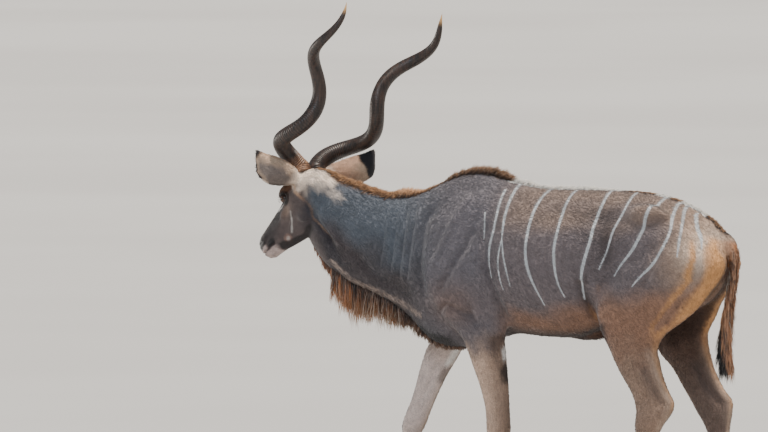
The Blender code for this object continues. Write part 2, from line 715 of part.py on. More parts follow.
def horn_line(side, count):
    """Centre line of one horn, from inside the skull to the tip."""
    axis = Vector((-math.sin(HORN_LEAN_BACK), math.sin(HORN_LEAN_OUT), 0))
    axis.z = math.sqrt(1 - axis.x ** 2 - axis.y ** 2)
    ahead = Vector((0, 1, 0)).cross(axis).normalized()
    if ahead.x < 0:
        ahead.negate()
    outward = axis.cross(ahead)
    if outward.y < 0:
        outward.negate()

    def spot(t):
        coil = HORN_COIL * (1 - t) ** HORN_COIL_POWER + HORN_COIL_TOP
        angle = HORN_PHASE + 2 * math.pi * HORN_TURNS * t ** HORN_TURN_POWER
        place = axis * (HORN_LENGTH * t ** HORN_RISE_POWER)
        place += outward * (HORN_BEND_OUT * t * t) - ahead * (HORN_BEND_BACK * t * t)
        return place + (ahead * math.cos(angle) + outward * math.sin(angle)) * coil

    start = spot(0.0)
    points = []
    for i in range(count):
        local = spot(i / (count - 1)) - start
        base = on_head(0.003, 0.005, side * HORN_BASE_APART)
        points.append(base + FORWARD * local.x + LEFT * (local.y * side) + UP * local.z)
    root = points[0] + (NOSE * 0.3 - BROW).normalized() * HORN_ROOT
    tip = points[-1] + (points[-1] - points[-2]).normalized() * HORN_TIP
    return [root] + points + [tip]


def evenly(points, count):
    """Points at even steps along a line."""
    marks = [0.0]
    for a, b in zip(points, points[1:]):
        marks.append(marks[-1] + (b - a).length)
    out = []
    k = 0
    for i in range(count):
        want = marks[-1] * i / (count - 1)
        while k < len(points) - 2 and marks[k + 1] < want:
            k += 1
        t = (want - marks[k]) / (marks[k + 1] - marks[k])
        out.append(points[k].lerp(points[k + 1], min(t, 1.0)))
    return out, marks[-1]


def horn(side, name, rings_count=49, around=10):
    line, length = evenly(horn_line(side, 240), rings_count)
    rings = []
    normal = UP.cross(LEFT).normalized()
    for i, place in enumerate(line):
        before = line[max(i - 1, 0)]
        after = line[min(i + 1, rings_count - 1)]
        run = (after - before).normalized()
        normal = (normal - run * normal.dot(run)).normalized()
        beside = run.cross(normal)
        t = i / (rings_count - 1)
        radius = HORN_RADIUS * (1 - 0.42 * t - 0.46 * t ** 5) + 0.002 * math.exp(-t / 0.06)
        if t > 0.93:
            radius *= max(0.10, 1 - ((t - 0.93) / 0.07) ** 2 * 0.92)
        ridge = 1 + (0.055 if i % 2 else -0.02) * max(0.0, 1 - t / 0.42)
        twist = -side * 2 * math.pi * HORN_TURNS * t ** 1.2 + 0.6
        ring = []
        for k in range(around):
            a = 2 * math.pi * k / around
            keel = 1 + 0.12 * max(0.0, math.cos(a - twist)) ** 6 * (1 - 0.5 * t)
            r = radius * ridge * keel
            ring.append(place + normal * (r * math.cos(a)) + beside * (r * 0.93 * math.sin(a)))
        rings.append(ring)
    return loft(name, rings)


def ear(side, name, tip, base, around=8):
    """Cupped ear: a leaf of two skins, rolled towards its base and fuller on its lower side."""
    axis = (tip - base).normalized()
    length = (tip - base).length
    opening = FORWARD * 0.85 - LEFT * (0.15 if side > 0 else 0.45)
    face = (opening - axis * opening.dot(axis)).normalized()
    wide = axis.cross(face) * side
    outer = []
    inner = []
    for t, half, drop, opened in catmull(EAR_SHAPE, 2):
        half_roll = math.radians(150 - 92 * opened)
        bend = EAR_BEND * math.sin(math.pi * t)
        place = base + axis * (length * t) - face * bend + wide * drop
        radius = half / max(math.sin(min(half_roll, math.pi / 2)), 0.3)
        skin = EAR_SKIN * (1 - 0.5 * t)
        a_row = []
        b_row = []
        for j in range(around):
            a = half_roll * (2 * j / (around - 1) - 1)
            ray = wide * math.sin(a) - face * math.cos(a)
            shift = face * (radius * 0.55)
            a_row.append(place + shift + ray * radius)
            b_row.append(place + shift + ray * max(radius - skin, radius * 0.3))
        outer.append(a_row)
        inner.append(b_row)
    rings = [a + list(reversed(b)) for a, b in zip(outer, inner)]
    return loft(name, rings)


def claw_ring(z, length, width, middle, out, side_in, count=12):
    """Outline of one claw at a height: pointed in front, round behind, flat inside."""
    ring = []
    for i in range(count):
        a = 2 * math.pi * i / count
        x = -math.cos(a)
        y = math.sin(a)
        taper = 1 - 0.45 * max(0.0, -x) ** 2.2
        inner = 0.62 if y * side_in > 0 else 1.0
        ring.append(Vector((middle + x * length / 2, out + y * width / 2 * taper * inner, z)))
    return ring


def claw(name, toe_x, leg_y, inward):
    """One closed claw: sole on the floor, walls leaning back to the coronet."""
    shift = (CLAW_WIDTH * 0.62 / 2 + CLAW_GAP / 2 + 0.003) * inward
    out = leg_y + shift
    rings = []
    for z, grow, back in ((0.0, 0.95, 0.002), (0.005, 1.0, 0.0), (0.075, 0.80, 0.028)):
        length = CLAW_LENGTH * grow
        middle = toe_x + CLAW_LENGTH / 2 + back
        rings.append(claw_ring(z, length, CLAW_WIDTH * grow, middle, out, -inward))
    thing = loft(name, rings)
    bm = bmesh.new()
    bm.from_mesh(thing.data)
    slope = Vector((CORONET_SLOPE, 0, 1)).normalized()
    slice_off(bm, Vector((toe_x + CORONET_BACK, 0, CORONET_FRONT)), slope)
    bmesh.ops.triangulate(bm, faces=bm.faces)
    bm.to_mesh(thing.data)
    bm.free()
    return thing


def dew_claw(name, place, back):
    """Small closed cone behind the pastern."""
    bm = bmesh.new()
    bmesh.ops.create_cone(bm, cap_ends=True, segments=8, radius1=0.0125, radius2=0.006, depth=0.030)
    turn = Vector((0, 0, 1)).rotation_difference(back).to_matrix().to_4x4()
    bmesh.ops.transform(bm, verts=bm.verts, matrix=turn)
    bmesh.ops.translate(bm, verts=bm.verts, vec=place)
    bmesh.ops.triangulate(bm, faces=bm.faces)
    return to_object(name, bm)


def material(name, colour, rough, coat=0.0):
    stuff = bpy.data.materials.new(name)
    stuff.use_nodes = True
    shader = stuff.node_tree.nodes["Principled BSDF"]
    shader.inputs["Base Color"].default_value = (*colour, 1)
    shader.inputs["Roughness"].default_value = rough
    shader.inputs["Coat Weight"].default_value = coat
    return stuff


def finish(thing, colour, rough, coat=0.0):
    """Round shading and a material of its own."""
    thing.data.materials.clear()
    thing.data.materials.append(material("m_" + thing.name, colour, rough, coat))
    thing.data.shade_smooth()
    thing.data.set_sharp_from_angle(angle=math.radians(50))


def cut_torso(flesh):
    """Trunk without neck and legs."""
    up = Vector((0, 0, 1))
    bm = bmesh.new()
    bm.from_mesh(flesh.data)
    slice_off(bm, NECK_CUT[0], NECK_CUT[1])
    slice_off(bm, Vector((0, 0, FORELEG_CUT)), -up)
    spot = Vector((0, 0, HINDLEG_CUT + GAP / 2))
    faces = [f for f in bm.faces if f.calc_center_median().x > HINDLEG_FRONT]
    edges = {e for f in faces for e in f.edges}
    verts = {v for f in faces for v in f.verts}
    geom = faces + list(edges) + list(verts)
    bmesh.ops.bisect_plane(bm, geom=geom, dist=1e-6, plane_co=spot, plane_no=-up, clear_outer=True)
    rim = [e for e in bm.edges if e.is_boundary]
    closed = bmesh.ops.edgeloop_fill(bm, edges=rim)
    bmesh.ops.triangulate(bm, faces=closed["faces"])
    torso = to_object("torso", bm)
    largest_surface(torso)
    return torso


def cut_leg(flesh, name, side, toe_x, height):
    """Lower leg from the cut under the trunk down to the coronet."""
    up = Vector((0, 0, 1))
    slope = Vector((CORONET_SLOPE, 0, 1)).normalized()
    top = (Vector((0, 0, height)), up)
    foot = (Vector((toe_x + CORONET_BACK, 0, CORONET_FRONT)), -slope)
    hind = height == HINDLEG_CUT

    def belongs(place):
        return place.y * side > 0 and (place.x > HINDLEG_FRONT - 0.02) == hind

    return kept_part(flesh, name, [top, foot], belongs)


def add_legs(flesh):
    """Lower legs, the two claws of each foot and the two small claws behind each pastern."""
    nodes = []
    for word, side, table, height in LEGS:
        toe_x = table[-1][1] - 0.006
        leg_y = table[-1][3] * side
        leg = cut_leg(flesh, word.replace("_", "leg_"), side, toe_x, height)
        nodes.append(leg)
        for inner, inward in (("inner", -side), ("outer", side)):
            nodes.append(claw(word.replace("_", "hoof_") + "_" + inner, toe_x, leg_y, inward))
            place = Vector((table[-4][2] + 0.000, table[-4][3] * side + inward * 0.0185, 0.100))
            back = Vector((0.55, 0.20 * inward, -0.80)).normalized()
            small = dew_claw(word.replace("_", "dewclaw_") + "_" + inner, place, back)
            trim(small, [swollen(leg, GAP)])
            nodes.append(small)
    return nodes


def build_parts():
    flesh = build_flesh()
    head_point, head_normal = HEAD_CUT
    head = build_head((head_point, -head_normal))
    neck = kept_part(flesh, "neck", [(NECK_CUT[0], -NECK_CUT[1]), (head_point, head_normal)])
    torso = cut_torso(flesh)
    nodes = [head, neck, torso] + add_legs(flesh)
    bpy.data.objects.remove(flesh, do_unlink=True)
    return nodes


def trim(thing, covers):
    """Cut a piece back to swollen copies of its neighbours, so that it meets them face to face."""
    for cover in covers:
        boolean(thing, cover, "DIFFERENCE")
        bpy.data.objects.remove(cover, do_unlink=True)
    largest_surface(thing)


def add_fittings(head, neck):
    """Horns, ears and eyes, each trimmed back to meet its neighbours."""
    fitted = []
    for side, word in SIDES:
        socket = ellipsoid("socket", eye_place(side), Vector((1, 1, 1)) * (EYE_RADIUS + GAP))
        boolean(head, socket, "DIFFERENCE")
        bpy.data.objects.remove(socket, do_unlink=True)
        fitted.append(ellipsoid("eye_" + word, eye_place(side), Vector((1, 1, 1)) * EYE_RADIUS))
    largest_surface(head)
    for side, word in SIDES:
        thing = horn(side, "horn_" + word)
        horn_cover = swollen(thing, GAP)
        trim(thing, [swollen(head, GAP), swollen(neck, GAP)])
        fitted.append(thing)
        tip, base = LEFT_EAR if side > 0 else RIGHT_EAR
        thing = ear(side, "ear_" + word, on_head(*tip), on_head(*base))
        trim(thing, [swollen(head, GAP), swollen(neck, GAP), horn_cover])
        fitted.append(thing)
    return fitted


def add_tail(torso):
    """Tail hanging behind the rump."""
    tail = loft("tail", tail_rings(8, 2))
    trim(tail, [swollen(torso, GAP)])
    return tail


def lock(bm, root, run, wide, length, width, thick, bend):
    """Flat tapered lock that leaves its root along run and bends towards another direction."""
    rows = []
    place = root - run * LOCK_ROOT
    step = (length + LOCK_ROOT) / 3
    heading = run.copy()
    for share in (0.85, 1.0, 0.72):
        flat = (wide - heading * wide.dot(heading)).normalized()
        out = heading.cross(flat)
        half = width * share / 2
        deep = thick * share / 2
        corners = (flat * half, out * deep, -flat * half, -out * deep)
        rows.append([bm.verts.new(place + c) for c in corners])
        place = place + heading * step
        heading = (heading + bend).normalized()
    tip = bm.verts.new(place)
    faces = [bm.faces.new(list(reversed(rows[0])))]
    for low, high in zip(rows, rows[1:]):
        for i in range(4):
            j = (i + 1) % 4
            faces.append(bm.faces.new((low[i], low[j], high[j], high[i])))
    for i in range(4):
        j = (i + 1) % 4
        faces.append(bm.faces.new((rows[-1][i], rows[-1][j], tip)))
    bmesh.ops.recalc_face_normals(bm, faces=faces)


def grow_locks(node, planes, locks):
    """Fuse a list of locks with a node, each cut clear of the planes that bound it."""
    group = bpy.data.collections.new("locks")
    for i, (root, run, wide, length, width, thick, bend) in enumerate(locks):
        bm = bmesh.new()
        lock(bm, root, run, wide, length, width, thick, bend)
        for point, normal in planes:
            slice_off(bm, point, normal, GAP * 2)
        if bm.faces:
            bmesh.ops.triangulate(bm, faces=bm.faces)
            thing = to_object("lock_%03d" % i, bm)
            bpy.context.scene.collection.objects.unlink(thing)
            group.objects.link(thing)
    bpy.context.scene.collection.children.link(group)
    boolean(node, group, "UNION")
    for thing in list(group.objects):
        bpy.data.objects.remove(thing, do_unlink=True)
    bpy.data.collections.remove(group)
    largest_surface(node)


def skin_tree(node):
    bm = bmesh.new()
    bm.from_mesh(node.data)
    tree = BVHTree.FromBMesh(bm)
    bm.free()
    return tree


def crest_locks(tree, row, rng):
    """Upright locks of the mane, from a row of (x, y, length, lean) along the top line."""
    locks = []
    for x, y, length, lean in row:
        hit = tree.ray_cast(Vector((x, y + rng.uniform(-0.006, 0.006), 1.7)), Vector((0, 0, -1)))
        if hit[0] is None:
            continue
        run = Vector((lean + rng.uniform(-0.15, 0.15), rng.uniform(-0.20, 0.20), 1)).normalized()
        wide = Vector((1, rng.uniform(-0.3, 0.3), 0))
        bend = Vector((0.28, rng.uniform(-0.12, 0.12), -0.05))
        size = length * rng.uniform(0.75, 1.1)
        locks.append((hit[0], run, wide, size, CREST_WIDTH * rng.uniform(0.85, 1.1), CREST_THICK, bend))
    return locks


def fringe_locks(tree, row, rng):
    """Hanging locks of the fringe, from a row of (x, y, length) along the underline."""
    locks = []
    for x, y, length in row:
        hit = tree.ray_cast(Vector((x, y, 0.3)), Vector((0, 0, 1)))
        if hit[0] is None:
            continue
        run = Vector((rng.uniform(-0.10, 0.16), y * 4 + rng.uniform(-0.10, 0.10), -1)).normalized()
        wide = Vector((1, rng.uniform(-0.5, 0.5), 0))
        bend = Vector((rng.uniform(-0.02, 0.12), -y * 2, -0.10))
        size = length * rng.uniform(0.78, 1.05)
        locks.append((hit[0], run, wide, size, FRINGE_WIDTH * rng.uniform(0.85, 1.15), FRINGE_THICK, bend))
    return locks


def spread(table, step, columns, rng):
    """Places along x at even steps, alternating between columns, with values read from a table."""
    out = []
    x = table[0][0]
    k = 0
    while x <= table[-1][0]:
        for a, b in zip(table, table[1:]):
            if a[0] <= x <= b[0]:
                t = (x - a[0]) / (b[0] - a[0])
                values = [p + (q - p) * t for p, q in zip(a[1:], b[1:])]
                break
        out.append((x, values[0] + columns[k % len(columns)], *values[1:]))
        k += 1
        x += step * rng.uniform(0.85, 1.15)
    return out


def tail_locks(rng):
    """Locks of the tail tuft, round the lower tail and hanging from it."""
    locks = []
    rows = catmull(TAIL, 4)
    for i in range(TAIL_LOCKS):
        t = i / (TAIL_LOCKS - 1)
        x, z, thick, half = rows[int(19 + t * 11)]
        a = i * 2.4
        out = Vector((math.cos(a), math.sin(a), 0))
        root = Vector((x, 0, z)) + Vector((out.x * thick, out.y * half, 0)) * 0.8
        run = (out * 0.28 + Vector((-0.05, 0, -1))).normalized()
        wide = Vector((-out.y, out.x, 0))
        length = TAIL_LOCK_LENGTH * rng.uniform(0.8, 1.1) * (0.8 + 0.3 * t)
        locks.append((root, run, wide, length, 0.026, 0.011, -out * 0.16))
    return locks


def add_locks(head, neck, torso, tail):
    """Mane, throat fringe and tail tuft."""
    rng = random.Random(7)
    head_point, head_normal = HEAD_CUT
    neck_point, neck_normal = NECK_CUT
    up = Vector((0, 0, 1))
    bounds = {
        neck: [(neck_point, -neck_normal), (head_point, head_normal)],
        torso: [(neck_point, neck_normal)],
        head: [(head_point, -head_normal)],
    }
    for node, crest, fringe in ((neck, NECK_CREST, NECK_FRINGE), (torso, BACK_CREST, CHEST_FRINGE), (head, None, JAW_FRINGE)):
        tree = skin_tree(node)
        locks = fringe_locks(tree, spread(fringe, FRINGE_STEP, (0.0, -0.022, 0.022), rng), rng)
        if crest is not None:
            locks += crest_locks(tree, spread(crest, CREST_STEP, (0.0, 0.010, -0.010), rng), rng)
        grow_locks(node, bounds[node], locks)
    grow_locks(tail, [], tail_locks(rng))


def centre_on_origin(nodes):
    """Move all nodes together so that the middle of their box stands over the origin."""
    spots = [v.co for n in nodes for v in n.data.vertices]
    middle_x = (min(p.x for p in spots) + max(p.x for p in spots)) / 2
    middle_y = (min(p.y for p in spots) + max(p.y for p in spots)) / 2
    lowest = min(p.z for p in spots)
    for node in nodes:
        node.data.transform(Matrix.Translation((-middle_x, -middle_y, -lowest)))
    return middle_x, middle_y


def build():
    clear_scene()
    nodes = build_parts()
    nodes += add_fittings(nodes[0], nodes[1])
    head, neck, torso = nodes[:3]
    tail = add_tail(torso)
    nodes.append(tail)
    add_locks(head, neck, torso, tail)
    centre_on_origin(nodes)
    for node in nodes:
        kind = next(k for k in COLOURS if node.name.startswith(k))
        finish(node, *COLOURS[kind])
    print("triangles", sum(len(n.data.polygons) for n in nodes))


if __name__ == "__main__":
    build()
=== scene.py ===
# %% [markdown]
# # Greater kudu bull, life size
# A standing bull with its head lowered to the right and one foreleg forward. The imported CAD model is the
# fixed frame. Around it this lesson makes one skin for all the flesh, a short coat of small tufts, the long
# hair of mane, throat fringe and tail, and finer horns, eyes and hooves.
# All shapes are first made in the frame they were measured in, with x towards the tail, y to the animal's
# right and z up. One shift at the end brings each finished piece to its place in the CAD frame.

import json
import math

import bmesh
import bpy
import numpy as np
from mathutils import Matrix, Vector
from mathutils.bvhtree import BVHTree

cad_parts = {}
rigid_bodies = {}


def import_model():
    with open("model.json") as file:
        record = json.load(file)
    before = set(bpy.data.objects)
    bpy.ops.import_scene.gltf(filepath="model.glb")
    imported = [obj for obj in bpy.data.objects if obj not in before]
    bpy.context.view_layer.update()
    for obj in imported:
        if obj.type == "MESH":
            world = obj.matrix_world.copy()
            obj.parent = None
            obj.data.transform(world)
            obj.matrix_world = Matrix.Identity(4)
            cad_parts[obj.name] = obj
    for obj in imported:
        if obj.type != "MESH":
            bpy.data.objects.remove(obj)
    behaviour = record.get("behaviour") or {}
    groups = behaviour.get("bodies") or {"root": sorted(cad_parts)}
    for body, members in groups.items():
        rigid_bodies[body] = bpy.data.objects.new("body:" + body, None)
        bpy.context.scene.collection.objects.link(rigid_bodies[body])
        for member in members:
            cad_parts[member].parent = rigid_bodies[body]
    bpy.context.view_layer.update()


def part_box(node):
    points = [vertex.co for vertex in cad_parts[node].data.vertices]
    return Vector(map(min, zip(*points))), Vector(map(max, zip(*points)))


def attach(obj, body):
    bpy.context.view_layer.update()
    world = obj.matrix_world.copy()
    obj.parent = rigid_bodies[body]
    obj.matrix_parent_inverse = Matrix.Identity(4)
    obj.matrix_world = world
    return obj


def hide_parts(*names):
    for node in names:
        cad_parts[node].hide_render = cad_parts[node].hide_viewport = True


for thing in list(bpy.data.objects):
    bpy.data.objects.remove(thing, do_unlink=True)
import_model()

# %% [markdown]
# ## The pose of the head
# The head is turned towards the animal's right, pitched down and slightly rolled. Its own three axes run
# along the face to the nose, out of the forehead and across to the left, so every feature of the face can
# be placed with three plain numbers. The left eye is a ball in the CAD model, and the place of its box
# tells how far the CAD frame is shifted from the measured one.

# %% Head axes and the shift to the CAD frame
POLL = Vector((-1.246, 0.030, 1.378))
HEAD_TURN, HEAD_PITCH, HEAD_ROLL = math.radians(16.5), math.radians(51.0), math.radians(6.6)
EYE_RADIUS = 0.0175


def head_axes():
    """Forward, left and up of the skull, then along the nose and out of the brow."""
    forward = Vector((-math.cos(HEAD_TURN), math.sin(HEAD_TURN), 0))
    left = Vector((-math.sin(HEAD_TURN), -math.cos(HEAD_TURN), 0))
    up = Vector((0, 0, 1))
    left, up = (left * math.cos(HEAD_ROLL) + up * math.sin(HEAD_ROLL),
                up * math.cos(HEAD_ROLL) - left * math.sin(HEAD_ROLL))
    nose = forward * math.cos(HEAD_PITCH) - up * math.sin(HEAD_PITCH)
    brow = forward * math.sin(HEAD_PITCH) + up * math.cos(HEAD_PITCH)
    return forward, left, up, nose, brow


FORWARD, LEFT, UP, NOSE, BROW = head_axes()


def on_head(along, out, across):
    """A place given along the face, out of the forehead and across to the left."""
    return POLL + NOSE * along + BROW * out + LEFT * across


def eye_place(side):
    return on_head(0.124, -0.037, side * 0.0605)


low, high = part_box("eye_left")
SHIFT = (low + high) / 2 - eye_place(1)
print("shift to the CAD frame", [round(v, 4) for v in SHIFT])

# %% [markdown]
# ## Sections of the body
# An animal's body is easiest to measure as a row of sections. The trunk and neck are given by points on the
# top line and the underline with a width between them, the legs by their front and rear outline, and the
# skull along the face. A smooth curve through the rows gives as many sections as the mesh needs.

# %% Trunk, neck and head sections
# top x, top z, bottom x, bottom z, y, half width, level of the widest point, upper and lower roundness
TRUNK = [
    (0.570, 1.146, 0.558, 1.060, 0.000, 0.030, 0.50, 2.0, 2.0),
    (0.545, 1.190, 0.532, 0.990, 0.000, 0.068, 0.55, 1.8, 2.0),
    (0.495, 1.238, 0.478, 0.930, 0.000, 0.112, 0.56, 1.6, 2.0),
    (0.408, 1.287, 0.390, 0.890, 0.000, 0.155, 0.57, 1.6, 2.0),
    (0.270, 1.325, 0.260, 0.870, 0.000, 0.182, 0.58, 1.7, 2.1),
    (0.120, 1.336, 0.120, 0.845, 0.000, 0.196, 0.52, 1.8, 2.1),
    (-0.040, 1.337, -0.040, 0.787, 0.000, 0.214, 0.47, 1.8, 2.1),
    (-0.200, 1.336, -0.200, 0.782, 0.000, 0.220, 0.47, 1.8, 2.1),
    (-0.340, 1.358, -0.330, 0.788, 0.000, 0.205, 0.48, 1.6, 2.1),
    (-0.450, 1.388, -0.450, 0.752, 0.000, 0.188, 0.48, 1.4, 2.1),
    (-0.545, 1.386, -0.560, 0.730, 0.000, 0.172, 0.50, 1.4, 2.0),
    (-0.620, 1.362, -0.660, 0.742, 0.000, 0.155, 0.52, 1.5, 2.0),
    (-0.690, 1.328, -0.730, 0.785, 0.000, 0.130, 0.52, 1.6, 1.9),
    (-0.770, 1.298, -0.790, 0.840, 0.000, 0.108, 0.52, 1.7, 1.9),
    (-0.860, 1.290, -0.865, 0.884, 0.001, 0.096, 0.52, 1.8, 1.9),
    (-0.950, 1.306, -0.955, 0.922, 0.004, 0.090, 0.52, 1.8, 1.9),
    (-1.045, 1.336, -1.040, 0.950, 0.010, 0.086, 0.54, 1.8, 1.9),
    (-1.130, 1.358, -1.100, 0.984, 0.018, 0.083, 0.55, 1.9, 1.9),
    (-1.200, 1.368, -1.158, 1.020, 0.027, 0.078, 0.58, 2.0, 2.0),
    (-1.245, 1.350, -1.222, 1.090, 0.033, 0.060, 0.58, 2.0, 2.0),
]
# place along the face, top, bottom, half width, level of the widest point, upper and lower roundness
HEAD = [
    (-0.060, -0.075, -0.160, 0.045, 0.50, 2.0, 2.0),
    (-0.020, -0.020, -0.188, 0.062, 0.60, 2.2, 2.0),
    (0.020, 0.000, -0.202, 0.068, 0.62, 2.3, 2.0),
    (0.060, 0.004, -0.208, 0.070, 0.64, 2.4, 2.0),
    (0.100, 0.004, -0.206, 0.069, 0.66, 2.4, 1.9),
    (0.135, 0.001, -0.200, 0.061, 0.66, 2.2, 1.9),
    (0.170, 0.000, -0.189, 0.050, 0.64, 2.1, 1.8),
    (0.210, 0.002, -0.172, 0.041, 0.62, 2.1, 1.8),
    (0.255, 0.003, -0.150, 0.036, 0.60, 2.1, 1.8),
    (0.295, 0.002, -0.129, 0.034, 0.58, 2.2, 1.9),
    (0.328, -0.001, -0.114, 0.036, 0.58, 2.3, 2.0),
    (0.352, -0.008, -0.102, 0.034, 0.58, 2.4, 2.2),
    (0.370, -0.022, -0.090, 0.024, 0.58, 2.2, 2.2),
]
# tail: x, z, half thickness, half width
TAIL = [
    (0.535, 1.175, 0.026, 0.030),
    (0.570, 1.150, 0.024, 0.028),
    (0.583, 1.105, 0.021, 0.025),
    (0.580, 1.040, 0.016, 0.023),
    (0.568, 0.970, 0.014, 0.021),
    (0.553, 0.890, 0.013, 0.020),
    (0.543, 0.820, 0.012, 0.018),
    (0.546, 0.760, 0.010, 0.014),
    (0.556, 0.720, 0.005, 0.007),
]

# %% Leg sections
# height, front x, rear x, y out from the middle, half width, skew, roundness
LEFT_FORELEG = [
    (1.310, -0.545, -0.370, 0.066, 0.028, 0.0, 2.0),
    (1.210, -0.620, -0.335, 0.100, 0.048, 0.0, 2.0),
    (1.080, -0.662, -0.315, 0.122, 0.060, 0.0, 2.0),
    (0.970, -0.655, -0.305, 0.128, 0.062, 0.0, 2.0),
    (0.885, -0.606, -0.302, 0.130, 0.059, 0.0, 2.0),
    (0.825, -0.545, -0.302, 0.131, 0.054, 0.0, 2.0),
    (0.773, -0.490, -0.312, 0.132, 0.046, 0.0, 2.1),
    (0.733, -0.472, -0.306, 0.131, 0.041, 0.0, 2.0),
    (0.669, -0.446, -0.302, 0.130, 0.036, 0.0, 2.0),
    (0.606, -0.420, -0.296, 0.130, 0.032, 0.0, 2.0),
    (0.530, -0.396, -0.293, 0.130, 0.031, 0.0, 2.0),
    (0.460, -0.386, -0.292, 0.130, 0.034, 0.0, 2.3),
    (0.415, -0.380, -0.296, 0.130, 0.032, 0.0, 2.3),
    (0.370, -0.366, -0.306, 0.130, 0.024, 0.0, 2.1),
    (0.300, -0.358, -0.306, 0.130, 0.020, 0.0, 2.0),
    (0.200, -0.354, -0.302, 0.130, 0.020, 0.0, 2.0),
    (0.150, -0.356, -0.298, 0.130, 0.023, 0.0, 2.0),
    (0.118, -0.362, -0.297, 0.130, 0.030, 0.0, 2.0),
    (0.085, -0.374, -0.312, 0.130, 0.031, 0.0, 2.1),
    (0.055, -0.388, -0.322, 0.130, 0.033, 0.0, 2.3),
    (0.020, -0.398, -0.334, 0.130, 0.032, 0.0, 2.3),
]
RIGHT_FORELEG = [
    (1.310, -0.560, -0.385, 0.066, 0.028, 0.0, 2.0),
    (1.210, -0.640, -0.355, 0.100, 0.048, 0.0, 2.0),
    (1.080, -0.692, -0.345, 0.122, 0.060, 0.0, 2.0),
    (0.970, -0.705, -0.345, 0.127, 0.062, 0.0, 2.0),
    (0.885, -0.706, -0.365, 0.129, 0.059, 0.0, 2.0),
    (0.825, -0.714, -0.430, 0.130, 0.054, 0.0, 2.0),
    (0.780, -0.745, -0.550, 0.130, 0.046, 0.0, 2.1),
    (0.733, -0.785, -0.625, 0.130, 0.041, 0.0, 2.0),
    (0.669, -0.812, -0.670, 0.128, 0.036, 0.0, 2.0),
    (0.606, -0.830, -0.712, 0.126, 0.032, 0.0, 2.0),
    (0.530, -0.852, -0.752, 0.124, 0.031, 0.0, 2.0),
    (0.460, -0.880, -0.786, 0.122, 0.034, 0.0, 2.3),
    (0.415, -0.890, -0.808, 0.122, 0.032, 0.0, 2.3),
    (0.370, -0.888, -0.830, 0.121, 0.024, 0.0, 2.1),
    (0.300, -0.900, -0.848, 0.120, 0.020, 0.0, 2.0),
    (0.200, -0.918, -0.866, 0.118, 0.020, 0.0, 2.0),
    (0.150, -0.930, -0.872, 0.118, 0.023, 0.0, 2.0),
    (0.118, -0.942, -0.876, 0.117, 0.030, 0.0, 2.0),
    (0.085, -0.958, -0.896, 0.117, 0.031, 0.0, 2.1),
    (0.055, -0.974, -0.908, 0.117, 0.033, 0.0, 2.3),
    (0.020, -0.986, -0.920, 0.117, 0.032, 0.0, 2.3),
]
LEFT_HINDLEG = [
    (1.225, 0.290, 0.450, 0.070, 0.044, 0.10, 2.0),
    (1.150, 0.240, 0.540, 0.088, 0.068, 0.16, 2.0),
    (1.085, 0.195, 0.587, 0.100, 0.080, 0.20, 2.0),
    (1.030, 0.160, 0.576, 0.106, 0.083, 0.20, 2.0),
    (0.976, 0.125, 0.536, 0.112, 0.082, 0.18, 2.0),
    (0.915, 0.092, 0.490, 0.118, 0.076, 0.14, 2.0),
    (0.865, 0.086, 0.436, 0.123, 0.068, 0.10, 2.1),
    (0.810, 0.104, 0.360, 0.128, 0.060, 0.05, 2.1),
    (0.760, 0.130, 0.336, 0.132, 0.052, 0.0, 2.0),
    (0.720, 0.150, 0.345, 0.134, 0.046, 0.0, 2.0),
    (0.666, 0.180, 0.360, 0.136, 0.039, 0.0, 2.0),
    (0.605, 0.222, 0.388, 0.138, 0.032, 0.0, 2.0),
    (0.565, 0.240, 0.411, 0.139, 0.030, 0.0, 2.0),
    (0.526, 0.249, 0.402, 0.140, 0.032, 0.0, 2.0),
    (0.486, 0.246, 0.368, 0.140, 0.032, 0.0, 2.1),
    (0.440, 0.246, 0.342, 0.140, 0.027, 0.0, 2.1),
    (0.390, 0.245, 0.318, 0.140, 0.022, 0.0, 2.0),
    (0.300, 0.232, 0.292, 0.140, 0.020, 0.0, 2.0),
    (0.200, 0.212, 0.268, 0.140, 0.020, 0.0, 2.0),
    (0.150, 0.198, 0.260, 0.140, 0.023, 0.0, 2.0),
    (0.118, 0.184, 0.252, 0.140, 0.029, 0.0, 2.0),
    (0.085, 0.168, 0.230, 0.140, 0.030, 0.0, 2.1),
    (0.055, 0.152, 0.218, 0.140, 0.032, 0.0, 2.3),
    (0.020, 0.142, 0.206, 0.140, 0.031, 0.0, 2.3),
]
